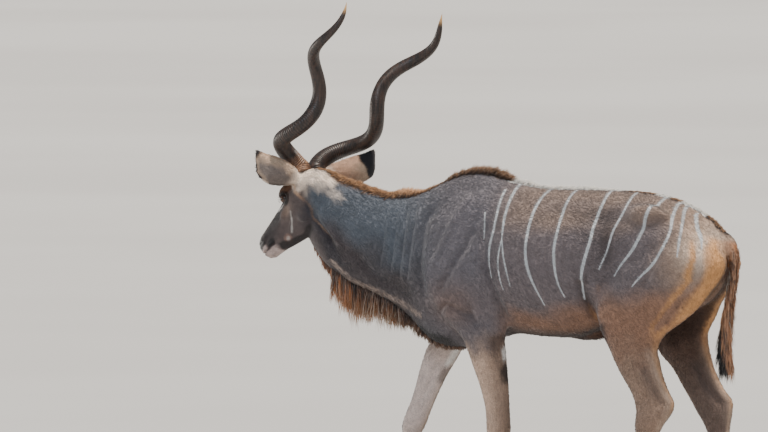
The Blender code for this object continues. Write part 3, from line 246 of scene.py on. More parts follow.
RIGHT_HINDLEG = [
    (1.225, 0.290, 0.450, 0.070, 0.044, 0.10, 2.0),
    (1.150, 0.240, 0.530, 0.088, 0.068, 0.16, 2.0),
    (1.085, 0.200, 0.575, 0.100, 0.080, 0.20, 2.0),
    (1.030, 0.168, 0.562, 0.104, 0.083, 0.20, 2.0),
    (0.976, 0.140, 0.520, 0.108, 0.082, 0.16, 2.0),
    (0.915, 0.122, 0.472, 0.112, 0.076, 0.10, 2.0),
    (0.865, 0.128, 0.446, 0.116, 0.068, 0.06, 2.1),
    (0.810, 0.152, 0.410, 0.118, 0.060, 0.03, 2.1),
    (0.760, 0.186, 0.412, 0.119, 0.052, 0.0, 2.0),
    (0.720, 0.212, 0.422, 0.120, 0.046, 0.0, 2.0),
    (0.673, 0.259, 0.438, 0.120, 0.039, 0.0, 2.0),
    (0.605, 0.302, 0.476, 0.120, 0.032, 0.0, 2.0),
    (0.565, 0.330, 0.511, 0.120, 0.030, 0.0, 2.0),
    (0.526, 0.354, 0.512, 0.120, 0.032, 0.0, 2.0),
    (0.480, 0.388, 0.502, 0.120, 0.032, 0.0, 2.1),
    (0.437, 0.407, 0.498, 0.120, 0.027, 0.0, 2.1),
    (0.390, 0.414, 0.488, 0.120, 0.022, 0.0, 2.0),
    (0.300, 0.418, 0.480, 0.120, 0.020, 0.0, 2.0),
    (0.200, 0.416, 0.474, 0.120, 0.020, 0.0, 2.0),
    (0.150, 0.408, 0.470, 0.120, 0.023, 0.0, 2.0),
    (0.118, 0.396, 0.464, 0.120, 0.029, 0.0, 2.0),
    (0.085, 0.380, 0.444, 0.120, 0.030, 0.0, 2.1),
    (0.055, 0.364, 0.432, 0.120, 0.032, 0.0, 2.3),
    (0.020, 0.354, 0.420, 0.120, 0.031, 0.0, 2.3),
]
LEGS = [(-1, LEFT_FORELEG), (1, RIGHT_FORELEG), (-1, LEFT_HINDLEG), (1, RIGHT_HINDLEG)]
print("sections", len(TRUNK) + len(HEAD) + len(TAIL) + sum(len(t) for _, t in LEGS))

# %% [markdown]
# ## From sections to a closed tube
# A loft could be a curve with a bevel, but a bevel has one round section. Here a circle is made once, its
# edge loop is extruded section by section, and each new loop is laid on the next section. The two ends are
# closed, so the tube is a solid that can be merged with its neighbours.

# %% Curves, rings and lofts
def catmull(rows, per):
    """Rows on a smooth curve through the given ones, with per steps between each pair."""
    out = []
    last = len(rows) - 1
    for i in range(last):
        a, b, c, d = (np.array(rows[k]) for k in (max(i - 1, 0), i, i + 1, min(i + 2, last)))
        for k in range(per):
            t = k / per
            h = t * t * (3 - 2 * t)
            out.append(b * (1 - h) + c * h + (c - a) / 2 * t * (1 - t) ** 2 - (d - b) / 2 * t * t * (1 - t))
    return out + [np.array(rows[-1])]


def power_round(angle, upper, lower):
    """A point of a superellipse of half size one."""
    s, c = math.sin(angle), math.cos(angle)
    p = upper if s > 0 else lower
    return math.copysign(abs(c) ** (2 / p), c), math.copysign(abs(s) ** (2 / p), s)


def ring_between(top, bottom, side, half, level, upper, lower, count):
    """A ring through top and bottom, as wide as half at a level between them."""
    wide = bottom.lerp(top, level)
    ring = []
    for i in range(count):
        across, rise = power_round(2 * math.pi * i / count, upper, lower)
        reach = (top - wide) * rise if rise > 0 else (wide - bottom) * rise
        ring.append(wide + reach + side * (across * half))
    return ring


def loft(bm, rings):
    """Extrude one circle along all the rings and close both ends."""
    row = bmesh.ops.create_circle(bm, cap_ends=True, segments=len(rings[0]), radius=1.0)["verts"]
    for vert, place in zip(row, rings[0]):
        vert.co = place
    start = row[0].link_faces[0]
    made = [start]
    for ring in rings[1:]:
        edges = [bm.edges.get(pair) for pair in zip(row, row[1:] + row[:1])]
        grown = bmesh.ops.extrude_edge_only(bm, edges=edges)["geom"]
        fresh = {g for g in grown if isinstance(g, bmesh.types.BMVert)}
        made += [g for g in grown if isinstance(g, bmesh.types.BMFace)]
        row = [next(e.other_vert(v) for e in v.link_edges if e.other_vert(v) in fresh) for v in row]
        for vert, place in zip(row, ring):
            vert.co = place
    edges = [bm.edges.get(pair) for pair in zip(row, row[1:] + row[:1])]
    made += bmesh.ops.edgeloop_fill(bm, edges=edges)["faces"]
    bmesh.ops.recalc_face_normals(bm, faces=made)


def to_object(name, bm):
    mesh = bpy.data.meshes.new(name)
    bm.to_mesh(mesh)
    bm.free()
    thing = bpy.data.objects.new(name, mesh)
    bpy.context.scene.collection.objects.link(thing)
    return thing


def place_arrays(mesh):
    """Vertex places and normals as arrays."""
    count = len(mesh.vertices)
    spots, facing = np.empty(count * 3), np.empty(count * 3)
    mesh.vertices.foreach_get("co", spots)
    mesh.vertex_normals.foreach_get("vector", facing)
    return spots.reshape(-1, 3), facing.reshape(-1, 3)


# %% [markdown]
# ## The flesh as one solid
# Trunk, skull, legs, tail and ears overlap where they join. A voxel remesh turns them into one closed skin
# without seams, which a Boolean union would leave as sharp creases. Small rounded masses under the skin,
# such as the hip bones, cheeks and lips, go in at the same time.

# %% Rings of the body
def trunk_rings(count, per):
    out = []
    for tx, tz, bx, bz, y, half, level, upper, lower in catmull(TRUNK, per):
        out.append(ring_between(Vector((tx, y, tz)), Vector((bx, y, bz)), Vector((0, 1, 0)),
                                half, level, upper, lower, count))
    return out


def head_rings(count, per):
    out = []
    for along, top, bottom, half, level, upper, lower in catmull(HEAD, per):
        out.append(ring_between(on_head(along, top, 0), on_head(along, bottom, 0), LEFT,
                                half, level, upper, lower, count))
    return out


def leg_rings(table, side, count, per):
    out = []
    for z, front, rear, apart, half, skew, power in catmull(table, per):
        middle, reach = (front + rear) / 2, (rear - front) / 2
        ring = []
        for i in range(count):
            along, across = power_round(2 * math.pi * i / count, power, power)
            y = apart + across * half - skew * along * reach
            ring.append(Vector((middle + along * reach, side * y, z)))
        out.append(ring)
    return out


def tail_rings(count, per):
    rows = catmull(TAIL, per)
    out = []
    for i, (x, z, thick, wide) in enumerate(rows):
        before, after = rows[max(i - 1, 0)], rows[min(i + 1, len(rows) - 1)]
        run = Vector((after[0] - before[0], 0, after[1] - before[1])).normalized()
        rear = Vector((-run.z, 0, run.x))
        angles = [2 * math.pi * k / count for k in range(count)]
        out.append([Vector((x, 0, z)) + rear * (thick * math.cos(a)) + Vector((0, wide * math.sin(a), 0))
                    for a in angles])
    return out


# %% Ears
LEFT_EAR = ((-0.010, 0.063, 0.235), (0.026, -0.043, 0.048))
RIGHT_EAR = ((-0.133, -0.015, -0.240), (0.016, -0.043, -0.048))
# place along the ear, half width, drop towards the lower rim, how far opened
EAR_SHAPE = [
    (0.00, 0.024, 0.000, 0.00),
    (0.16, 0.038, 0.006, 0.45),
    (0.36, 0.052, 0.019, 0.85),
    (0.60, 0.058, 0.034, 1.00),
    (0.80, 0.044, 0.032, 1.00),
    (0.93, 0.021, 0.013, 1.00),
    (1.00, 0.004, 0.000, 1.00),
]
EAR_BEND = 0.014
EAR_SKIN = 0.0066


def ear_frame(side):
    """Tip, base and the ear's axes: along it, out of its opening and across it to the lower rim."""
    tip, base = (on_head(*p) for p in (LEFT_EAR if side > 0 else RIGHT_EAR))
    axis = (tip - base).normalized()
    opening = FORWARD * 0.85 - LEFT * (0.15 if side > 0 else 0.45)
    face = (opening - axis * opening.dot(axis)).normalized()
    return tip, base, axis, face, axis.cross(face) * side


def ear_rings(side, around=15, per=5):
    """A leaf of two skins, rolled into a tube at its base."""
    tip, base, axis, face, wide = ear_frame(side)
    out = []
    for t, half, drop, opened in catmull(EAR_SHAPE, per):
        roll = math.radians(150 - 92 * opened)
        place = base + axis * ((tip - base).length * t) - face * (EAR_BEND * math.sin(math.pi * t)) + wide * drop
        radius = half / max(math.sin(min(roll, math.pi / 2)), 0.3)
        rays = []
        for j in range(around):
            a = roll * (2 * j / (around - 1) - 1)
            rays.append(wide * math.sin(a) - face * math.cos(a))
        centre = place + face * (radius * 0.55)
        inner = max(radius - EAR_SKIN, radius * 0.3)
        out.append([centre + r * radius for r in rays] + [centre + r * inner for r in reversed(rays)])
    return out

# %% Masses under the skin
HEAD_TURNED = Matrix((NOSE, LEFT, BROW)).transposed().to_4x4()
# on the body: place and half sizes, on both sides
BODY_MASSES = [
    ((0.275, 0.116, 1.245), (0.090, 0.044, 0.052)),
    ((0.520, 0.058, 1.115), (0.042, 0.034, 0.050)),
    ((-0.040, 0.000, 0.793), (0.095, 0.022, 0.020)),
]
# on the head: along, out, across and half sizes, on both sides
HEAD_MASSES = [
    ((0.108, -0.014, 0.053), (0.038, 0.022, 0.018)),
    ((0.152, -0.060, 0.040), (0.050, 0.020, 0.022)),
    ((0.088, -0.130, 0.044), (0.055, 0.020, 0.052)),
    ((0.338, -0.036, 0.022), (0.022, 0.013, 0.018)),
    ((0.322, -0.078, 0.022), (0.034, 0.013, 0.016)),
    ((0.025, -0.045, 0.050), (0.030, 0.018, 0.036)),
    ((0.334, -0.094, 0.000), (0.028, 0.024, 0.014)),
]


def solid(rings):
    """One lofted tube as an object of its own."""
    bm = bmesh.new()
    loft(bm, rings)
    return to_object("solid", bm)


def lump(centre, sizes, turn=None, fine=3):
    """An egg shape from a scaled icosphere."""
    bm = bmesh.new()
    bmesh.ops.create_icosphere(bm, subdivisions=fine, radius=1.0)
    bmesh.ops.scale(bm, verts=bm.verts, vec=sizes)
    if turn is not None:
        bmesh.ops.transform(bm, verts=bm.verts, matrix=turn)
    bmesh.ops.translate(bm, verts=bm.verts, vec=centre)
    return to_object("lump", bm)


def lid_axes(side):
    """Out of the eye, along its slit and across the slit."""
    tilt = (NOSE * 0.25 + LEFT * (side * 0.95)).normalized()
    along = (NOSE - tilt * NOSE.dot(tilt)).normalized()
    return tilt, along, tilt.cross(along).normalized()


def lid_beads(side):
    """Beads along an almond round the eye, which the remesh melts into lids."""
    tilt, along, out = lid_axes(side)
    beads = []
    for i in range(30):
        a = 2 * math.pi * i / 30
        spot = eye_place(side) + along * (0.0215 * math.cos(a)) + out * (0.0160 * math.sin(a))
        spot += tilt * (0.008 - 0.006 * math.cos(a) ** 2)
        beads.append(lump(spot, Vector((1, 1, 1)) * 0.0052, fine=2))
    return beads


def join(things, name):
    bm = bmesh.new()
    for thing in things:
        bm.from_mesh(thing.data)
        bpy.data.objects.remove(thing, do_unlink=True)
    return to_object(name, bm)


solids = [solid(trunk_rings(40, 5)), solid(head_rings(40, 5)), solid(tail_rings(16, 4))]
solids += [solid(leg_rings(table, side, 28, 4)) for side, table in LEGS]
solids += [solid(ear_rings(side)) for side in (1, -1)]
for side in (1, -1):
    solids += lid_beads(side)
for centre, sizes in BODY_MASSES:
    for side in ((0,) if centre[1] == 0 else (-1, 1)):
        solids.append(lump((centre[0], centre[1] * side, centre[2]), sizes))
for (along, out, across), sizes in HEAD_MASSES:
    for side in ((0,) if across == 0 else (-1, 1)):
        solids.append(lump(on_head(along, out, across * side), sizes, HEAD_TURNED))
print("overlapping solids", len(solids))
skin = join(solids, "skin")

# %% [markdown]
# ## One smooth skin
# The voxels leave small steps that a Smooth modifier takes out. The broad body bears many rounds of it, the
# face only a few or its lids would melt, and the thin ears fewest, so the rounds are weighted by region.

# %% Remesh and smooth
VOXEL = 0.0034
HEAD_CUT = (Vector((-1.146, 0.03, 1.12)), Vector((-0.965, 0.16, -0.205)).normalized())


def ease(low, high, x):
    """Smooth step from 0 at low to 1 at high."""
    t = np.clip((x - low) / (high - low), 0, 1)
    return t * t * (3 - 2 * t)


def head_local(spots):
    """Places along the face, out of the brow and across to the left."""
    return (spots - np.array(POLL)) @ np.array([NOSE, BROW, LEFT]).T


def on_face(spots):
    """1 on the head and ears, 0 on the neck and body."""
    depth = (spots - np.array(HEAD_CUT[0])) @ np.array(HEAD_CUT[1])
    local = head_local(spots)
    return ease(-0.03, 0.03, depth) * ease(-0.20, -0.12, local[:, 0]) * (spots[:, 2] > 0.9)


def on_ear(spots):
    """1 on the ears, rising from their base, and the place along the ear."""
    best, along = np.zeros(len(spots)), np.zeros(len(spots))
    for side in (1, -1):
        tip, base, axis, face, wide = ear_frame(side)
        t = (spots - np.array(base)) @ np.array(axis) / (tip - base).length
        off = np.linalg.norm(spots - np.array(base) - np.outer(t * (tip - base).length, axis), axis=1)
        outward = head_local(spots)[:, 2] * side
        inside = ease(0.10, 0.30, t) * (off < 0.085) * (t < 1.1) * ease(0.062, 0.085, outward)
        best = np.maximum(best, inside)
        along = np.where(inside > 0, t, along)
    return best, along


def apply_modifiers(thing):
    graph = bpy.context.evaluated_depsgraph_get()
    mesh = bpy.data.meshes.new_from_object(thing.evaluated_get(graph))
    thing.modifiers.clear()
    thing.data = mesh


def weight_group(thing, name, weights, steps=10):
    """A vertex group from an array of weights, in a few even steps."""
    group = thing.vertex_groups.new(name=name)
    level = np.round(weights * steps).astype(int)
    for k in range(1, steps + 1):
        group.add(np.nonzero(level == k)[0].tolist(), k / steps, "REPLACE")


def smooth(thing, rounds, weights=None):
    if weights is not None:
        weight_group(thing, "smooth", weights)
    even = thing.modifiers.new("smooth", "SMOOTH")
    even.factor, even.iterations = 0.5, rounds
    if weights is not None:
        even.vertex_group = "smooth"
    apply_modifiers(thing)
    thing.vertex_groups.clear()


cover = skin.modifiers.new("voxels", "REMESH")
cover.mode, cover.voxel_size = "VOXEL", VOXEL
apply_modifiers(skin)
scale = (0.0034 / VOXEL) ** 2
spots, facing = place_arrays(skin.data)
body = 1 - np.maximum(on_face(spots), on_ear(spots)[0])
smooth(skin, 4)
smooth(skin, int(55 * scale), body)
high_body = body * ease(0.76, 0.88, spots[:, 2])
smooth(skin, int(180 * scale), high_body)
near_eye = np.min([np.linalg.norm(spots - np.array(eye_place(s)), axis=1) for s in (1, -1)], axis=0)
smooth(skin, int(16 * scale), on_face(spots) * (1 - on_ear(spots)[0]) * ease(0.026, 0.046, near_eye))
print("skin", len(skin.data.polygons), "faces")

# %% [markdown]
# ## Muscle, bone and face pressed into the skin
# Under a short coat the eye reads the shoulder blade, the ribs, the fold of the flank and the tendons of the
# legs. A sculptor would push and pull them with brushes. Here each is a named soft swelling or a crease along
# a short line, and every vertex moves along its normal by their sum.

# %% Forms of the body
# the upper edge of the hooves: its height in front, its slope and how far behind the toe it starts
CORONET_FRONT, CORONET_SLOPE, CORONET_BACK = 0.062, 0.32, 0.018
# swellings seen from the side: x, z, half length, half height, turn in degrees, how far out
SWELLINGS = [
    (-0.425, 1.262, 0.062, 0.045, 8, 0.0090),
    (-0.510, 1.190, 0.055, 0.120, -22, 0.0070),
    (-0.455, 1.025, 0.095, 0.100, 20, 0.0095),
    (-0.622, 1.010, 0.045, 0.085, 0, 0.0070),
    (-0.575, 1.130, 0.035, 0.090, -18, -0.0070),
    (-0.335, 1.110, 0.026, 0.130, 4, -0.0100),
    (-0.360, 0.890, 0.040, 0.045, 0, 0.0070),
    (-0.120, 1.040, 0.170, 0.150, 0, 0.0050),
    (0.100, 1.150, 0.070, 0.105, 8, -0.0150),
    (0.110, 1.240, 0.130, 0.032, 0, -0.0090),
    (-0.080, 1.250, 0.180, 0.030, 0, -0.0040),
    (0.270, 1.250, 0.050, 0.034, 0, 0.0080),
    (0.345, 1.225, 0.050, 0.045, -20, -0.0070),
    (0.415, 1.130, 0.090, 0.100, 0, 0.0060),
    (0.250, 0.970, 0.100, 0.100, 0, 0.0080),
    (0.160, 1.050, 0.030, 0.110, 12, -0.0060),
    (0.165, 0.870, 0.050, 0.060, 0, 0.0060),
    (0.395, 0.950, 0.060, 0.070, 0, 0.0050),
    (-0.900, 1.180, 0.180, 0.055, 8, 0.0050),
    (-0.950, 1.000, 0.200, 0.040, 10, 0.0030),
]
# creases and ridges seen from the side: half width, how far out, then places (x, z) along the line
CREASES = [
    (0.016, -0.0120, [(-0.300, 0.820), (-0.305, 0.880), (-0.330, 0.960), (-0.362, 1.050), (-0.380, 1.150), (-0.378, 1.230)]),
    (0.024, -0.0120, [(-0.650, 0.905), (-0.672, 1.020), (-0.672, 1.110), (-0.668, 1.200), (-0.620, 1.280)]),
    (0.016, 0.0060, [(-0.470, 1.320), (-0.515, 1.230), (-0.565, 1.110), (-0.605, 1.030)]),
    (0.016, -0.0080, [(-0.425, 1.200), (-0.455, 1.110), (-0.530, 1.000), (-0.580, 0.930)]),
    (0.014, -0.0110, [(-0.600, 0.860), (-0.540, 0.900), (-0.470, 0.880), (-0.410, 0.860)]),
    (0.012, -0.0070, [(-0.480, 0.960), (-0.430, 0.890), (-0.400, 0.820)]),
    (0.018, -0.0120, [(0.035, 1.020), (0.050, 0.950), (0.064, 0.890), (0.094, 0.830)]),
    (0.024, 0.0060, [(0.094, 1.010), (0.104, 0.930), (0.126, 0.860)]),
    (0.014, -0.0060, [(0.520, 1.100), (0.489, 1.017), (0.422, 0.942), (0.361, 0.866), (0.320, 0.820)]),
    (0.018, 0.0030, [(0.545, 1.084), (0.515, 0.998), (0.450, 0.915), (0.380, 0.835)]),
    (0.018, -0.0060, [(0.330, 1.180), (0.350, 1.080), (0.315, 0.990), (0.262, 0.920)]),
    (0.014, -0.0060, [(0.480, 1.180), (0.500, 1.100), (0.470, 1.010)]),
    (0.010, -0.0050, [(-0.735, 1.285), (-0.722, 1.180), (-0.728, 1.080), (-0.750, 0.960)]),
    (0.009, -0.0042, [(-0.775, 1.270), (-0.762, 1.180), (-0.768, 1.080), (-0.790, 0.970)]),
    (0.009, -0.0034, [(-0.818, 1.260), (-0.805, 1.170), (-0.812, 1.080), (-0.832, 0.990)]),
    (0.009, -0.0028, [(-0.862, 1.250), (-0.852, 1.180), (-0.860, 1.100), (-0.880, 1.010)]),
    (0.014, -0.0100, [(-1.240, 1.290), (-1.210, 1.262), (-1.178, 1.225), (-1.160, 1.185), (-1.112, 1.140), (-1.070, 1.080)]),
    (0.014, 0.0060, [(-1.215, 1.300), (-1.180, 1.270), (-1.148, 1.230), (-1.128, 1.190), (-1.085, 1.140), (-1.040, 1.080)]),
    (0.022, -0.0060, [(-1.010, 1.090), (-0.930, 1.020), (-0.820, 0.960), (-0.700, 0.920)]),
]


def swelling(spots, x, z, long, high, turn):
    a = math.radians(turn)
    dx, dz = spots[:, 0] - x, spots[:, 2] - z
    u, v = dx * math.cos(a) + dz * math.sin(a), dz * math.cos(a) - dx * math.sin(a)
    return np.exp(-(u / long) ** 2 - (v / high) ** 2)


def line_distance(flat, line):
    """Distance of points from a broken line, and how far along it they are."""
    best, where = np.full(len(flat), 9.0), np.zeros(len(flat))
    for k, (a, b) in enumerate(zip(line, line[1:])):
        a, b = np.array(a), np.array(b)
        t = np.clip((flat - a) @ (b - a) / ((b - a) @ (b - a)), 0, 1)
        off = np.linalg.norm(flat - a - t[:, None] * (b - a), axis=1)
        where = np.where(off < best, (k + t) / (len(line) - 1), where)
        best = np.minimum(best, off)
    return best, where


def crease(flat, line, width):
    off, where = line_distance(flat, line)
    return np.exp(-(off / width) ** 2) * ease(0, 0.15, where) * ease(1, 0.85, where)


def leg_local(spots):
    """Nearest leg, place on it from front -1 to rear 1 and from inside -1 to outside 1, how far off it is."""
    best = np.full(len(spots), 9.0)
    which, along, outward = np.full(len(spots), -1), np.zeros(len(spots)), np.zeros(len(spots))
    for k, (side, table) in enumerate(LEGS):
        rows = np.array(table)[::-1]
        front, rear, apart, half = (np.interp(spots[:, 2], rows[:, 0], rows[:, c]) for c in (1, 2, 3, 4))
        a = (spots[:, 0] - (front + rear) / 2) / ((rear - front) / 2)
        b = (spots[:, 1] * side - apart) / half
        off = np.hypot(np.maximum(np.abs(a) - 1, 0), np.maximum(np.abs(b) - 1, 0))
        nearer = (off < best) & (spots[:, 1] * side > 0)
        which = np.where(nearer, k, which)
        along, outward = np.where(nearer, a, along), np.where(nearer, b, outward)
        best = np.minimum(best, np.where(nearer, off, 9.0))
    return which, along, outward, best


def band(low, high, soft, x):
    """1 between low and high, falling to 0 over soft on both sides."""
    return ease(low - soft, low, x) * ease(high + soft, high, x)


def above_hoof(spots, which):
    """Height above the sloping top edge of the hooves."""
    toe = np.array([table[-1][1] - 0.006 for _, table in LEGS])[which]
    return (CORONET_SLOPE * (spots[:, 0] - toe - CORONET_BACK) + spots[:, 2] - CORONET_FRONT) / 1.05


def body_forms(spots, facing):
    """How far the skin of body and legs moves outwards."""
    sideways = ease(0.25, 0.75, np.abs(facing[:, 1]))
    flat = spots[:, [0, 2]]
    move = np.zeros(len(spots))
    for x, z, long, high, turn, out in SWELLINGS:
        move += out * swelling(spots, x, z, long, high, turn)
    for width, out, line in CREASES:
        move += out * crease(flat, line, width)
    for k in range(9):
        x = -0.215 + 0.036 * k
        rib = [(x, 1.20), (x + 0.006, 1.08), (x + 0.030, 0.96), (x + 0.060, 0.87)]
        move += 0.0020 * crease(flat, rib, 0.011)
    move *= sideways
    which, along, outward, away = leg_local(spots)
    z = spots[:, 2]
    outer = ease(0.2, 0.7, np.abs(outward))
    fore, hind = which < 2, which >= 2
    move += fore * outer * -0.0030 * np.exp(-((along - 0.30) / 0.16) ** 2) * band(0.17, 0.36, 0.03, z)
    move += hind * outer * -0.0030 * np.exp(-((along - 0.25) / 0.16) ** 2) * band(0.17, 0.36, 0.03, z)
    move += hind * outer * -0.0090 * np.exp(-((along - 0.42) / 0.20) ** 2) * band(0.57, 0.68, 0.04, z)
    move += fore * outer * -0.0040 * np.exp(-((along - 0.25) / 0.25) ** 2) * band(0.56, 0.66, 0.04, z)
    move += fore * 0.0030 * np.exp(-((z - 0.435) / 0.030) ** 2) * outer
    move += hind * 0.0028 * np.exp(-((z - 0.500) / 0.030) ** 2) * outer
    cleft = np.exp(-(outward / 0.16) ** 2) * ease(0.060, 0.030, z)
    above = above_hoof(spots, which)
    rim = np.exp(-((above - 0.006) / 0.005) ** 2)
    return move + (0.0012 * rim - 0.0060 * cleft - 0.0055 * ease(0.001, -0.005, above)) * (z < 0.10)


# %% Forms of the face
MOUTH_CORNER, MOUTH_FRONT, MOUTH_OUT = 0.285, 0.365, 0.070
NOSTRIL = (0.350, -0.036, 0.024)
# along, out, across, three half sizes and how far out
FACE_SWELLINGS = [
    ((0.106, -0.006, 0.066), (0.026, 0.014, 0.020), 0.0030),
    ((0.150, -0.060, 0.055), (0.016, 0.014, 0.020), -0.0025),
    ((0.185, -0.062, 0.045), (0.055, 0.010, 0.020), 0.0035),
    ((0.200, -0.100, 0.040), (0.050, 0.016, 0.020), -0.0040),
    ((0.235, -0.028, 0.036), (0.040, 0.018, 0.020), -0.0030),
    ((0.070, -0.035, 0.066), (0.020, 0.020, 0.020), -0.0040),
    ((0.268, -0.085, 0.034), (0.018, 0.016, 0.020), 0.0020),
    ((0.318, -0.052, 0.034), (0.020, 0.010, 0.014), -0.0025),
]


def face_forms(spots):
    """How the skin of the face moves, as vectors."""
    along, out, across = head_local(spots).T
    wide = np.abs(across)
    move = np.zeros(len(spots))
    for (a, o, w), (ra, ro, rw), height in FACE_SWELLINGS:
        move += height * np.exp(-((along - a) / ra) ** 2 - ((out - o) / ro) ** 2 - ((wide - w) / rw) ** 2)
    line = MOUTH_OUT + 0.25 * (MOUTH_FRONT - along)
    near = np.exp(-((out + line) / 0.0030) ** 2) * ease(MOUTH_CORNER, MOUTH_CORNER + 0.015, along)
    lips = np.exp(-((np.abs(out + line) - 0.0075) / 0.0040) ** 2) * ease(MOUTH_CORNER, MOUTH_CORNER + 0.03, along)
    sideways = np.sign(across) * np.minimum(1, wide / 0.015)
    forward = ease(0.345, 0.357, along)
    inward = -np.outer(sideways, LEFT) - np.outer(forward, NOSE)
    a = (along - NOSTRIL[0] + 0.5 * (wide - NOSTRIL[2])) / 0.0125
    b = (wide - NOSTRIL[2]) / 0.0085
    c = (out - NOSTRIL[1] - 0.3 * (along - NOSTRIL[0])) / 0.0055
    slit = a ** 2 + b ** 2 + c ** 2
    hole = np.where(slit < 6, np.exp(-slit), 0)
    rim = np.where(slit < 9, np.exp(-((np.sqrt(slit) - 1.7) / 0.5) ** 2), 0)
    steps = inward * (0.0065 * near - 0.0012 * lips)[:, None]
    steps -= (np.array(NOSE) * 0.5 + np.outer(np.sign(across) * 0.6, LEFT)) * (0.013 * hole - 0.0014 * rim)[:, None]
    for side in (1, -1):
        tilt, slant, rise = (np.array(v) for v in lid_axes(side))
        rel = spots - np.array(eye_place(side))
        u, v, w = rel @ slant, rel @ rise, rel @ tilt
        ring = np.hypot(u / 0.0215, v / 0.0160)
        socket = ease(0.92, 0.70, ring) * (w > 0)
        fold = np.exp(-((ring - 1.55) / 0.14) ** 2) * (w > -0.01) * (np.abs(u) < 0.03)
        duct = np.exp(-((u - 0.026) / 0.009) ** 2 - ((v + 0.003) / 0.0035) ** 2) * (w > -0.012)
        steps -= np.outer(0.0050 * socket + 0.0018 * fold + 0.0040 * duct, tilt)
    return steps, move


def coat_depth(spots):
    """How far the skin lies inside the coat: less on the head, the ears and the feet."""
    head, ear = on_face(spots), on_ear(spots)[0]
    depth = 0.0034 - 0.0018 * np.maximum(head, ease(0.75, 0.55, spots[:, 2]))
    return depth * (1 - 0.8 * ear) * ease(0.045, 0.075, spots[:, 2])


spots, facing = place_arrays(skin.data)
steps, bulge = face_forms(spots)
head, ear = on_face(spots), on_ear(spots)[0]
head *= 1 - ear
steps *= head[:, None]
lift = body_forms(spots, facing) * (1 - np.maximum(head, ear)) + bulge * head - coat_depth(spots)
spots += steps + facing * lift[:, None]
skin.data.vertices.foreach_set("co", spots.ravel())
skin.data.update()
print("pressed", round(float(np.abs(lift).max()) * 1000, 1), "mm at most")

# %% [markdown]
# ## Markings and painted light
# A kudu's markings follow its body, so they are worked out once, from the place of a point on the animal,
# and both the skin and every tuft of hair ask the same function. The same functions also paint light and
# shade: sunlit rims, edges and patches, and shade on the throat, in folds and inside the legs. The white
# stripes are kept apart as a distance from their centre lines, so that their edge can stay sharp between two
# vertices of the skin.

# %% Colours of the coat
def tone(red, green, blue):
    """A colour given as on a screen, as linear light."""
    c = np.array((red, green, blue)) / 255
    return np.where(c <= 0.04045, c / 12.92, ((c + 0.055) / 1.055) ** 2.4)


FAWN = tone(103, 93, 94)
SHOULDER = tone(95, 91, 96)
NECK_GREY = tone(83, 88, 96)
NECK_LOW = tone(64, 54, 54)
# painted shade: a dark grey put on the throat, under the jaw, inside the far hind leg and in the hock grooves
PAINTED_SHADE_GREY = tone(50, 45, 50)
WARM_BACK = tone(130, 110, 98)
BELLY_TAN = tone(140, 103, 80)
RUMP_TAN = tone(158, 132, 113)
# painted sunlight: a warm tan for the hind leg surfaces that face the tail
SUNLIT_EDGE_TAN = tone(204, 150, 98)
LEG_TAN = tone(144, 119, 102)
# painted sunlight: the forelegs are lightened where the sun falls on them
SUNLIT_FORELEG_PALE = tone(206, 174, 152)
SHIN_PALE = tone(184, 160, 142)
DARK_BROWN = tone(50, 32, 24)
BLACKISH = tone(24, 19, 18)
THROAT_BEIGE = tone(158, 138, 126)
# painted rim light: a tan for edges where the sun grazes the hair
SUNLIT_RIM_TAN = tone(176, 138, 108)
FACE_BROWN = tone(82, 70, 68)
BROW_BROWN = tone(96, 68, 50)
POLL_CREAM = tone(246, 224, 204)
WHITE = tone(232, 228, 222)
LIP_WHITE = tone(180, 160, 154)
# painted shade: the grey of the near ear's back, as it looks in shade
SHADED_EAR_GREY = tone(126, 113, 106)
EAR_CREAM = tone(200, 170, 144)
EAR_PINK = tone(196, 164, 146)
TAIL_TAN = tone(168, 108, 64)

# white stripes seen from the side: strength, then places (x, z) from the spine down
STRIPES = [
    (0.30, [(-0.394, 1.245), (-0.389, 1.209), (-0.385, 1.173), (-0.381, 1.137)]),
    (0.75, [(-0.349, 1.325), (-0.347, 1.287), (-0.344, 1.240), (-0.343, 1.182), (-0.348, 1.123), (-0.344, 1.065),
            (-0.337, 1.005)]),
    (1.00, [(-0.312, 1.366), (-0.309, 1.326), (-0.307, 1.279), (-0.304, 1.231), (-0.297, 1.183), (-0.291, 1.135)]),
    (0.50, [(-0.293, 1.145), (-0.299, 1.092), (-0.299, 1.059), (-0.292, 1.007), (-0.279, 0.962)]),
    (0.50, [(-0.291, 1.145), (-0.273, 1.082), (-0.258, 1.030), (-0.244, 0.975)]),
    (1.00, [(-0.177, 1.340), (-0.183, 1.292), (-0.188, 1.249), (-0.185, 1.196), (-0.181, 1.128), (-0.171, 1.070),
            (-0.151, 1.011), (-0.123, 0.947), (-0.109, 0.912)]),
    (0.90, [(-0.068, 1.340), (-0.066, 1.285), (-0.066, 1.243), (-0.062, 1.190), (-0.062, 1.121), (-0.053, 1.053),
            (-0.041, 0.994), (-0.022, 0.944)]),
    (1.00, [(0.077, 1.340), (0.085, 1.290), (0.076, 1.229), (0.074, 1.153), (0.060, 1.083), (0.050, 1.025),
            (0.045, 0.974), (0.045, 0.936)]),
    (0.85, [(0.186, 1.325), (0.188, 1.270), (0.174, 1.226), (0.163, 1.184), (0.148, 1.125), (0.116, 1.050)]),
    (1.00, [(0.306, 1.318), (0.303, 1.270), (0.292, 1.229), (0.283, 1.187), (0.257, 1.128), (0.208, 1.067),
            (0.178, 1.027)]),
    (0.90, [(0.364, 1.300), (0.375, 1.244), (0.386, 1.188), (0.372, 1.130), (0.339, 1.071), (0.293, 1.022),
            (0.267, 0.991)]),
    (0.75, [(0.395, 1.285), (0.418, 1.225), (0.429, 1.178), (0.434, 1.131), (0.435, 1.102)]),
    (0.75, [(0.443, 1.255), (0.471, 1.206), (0.497, 1.169), (0.512, 1.131)]),
]
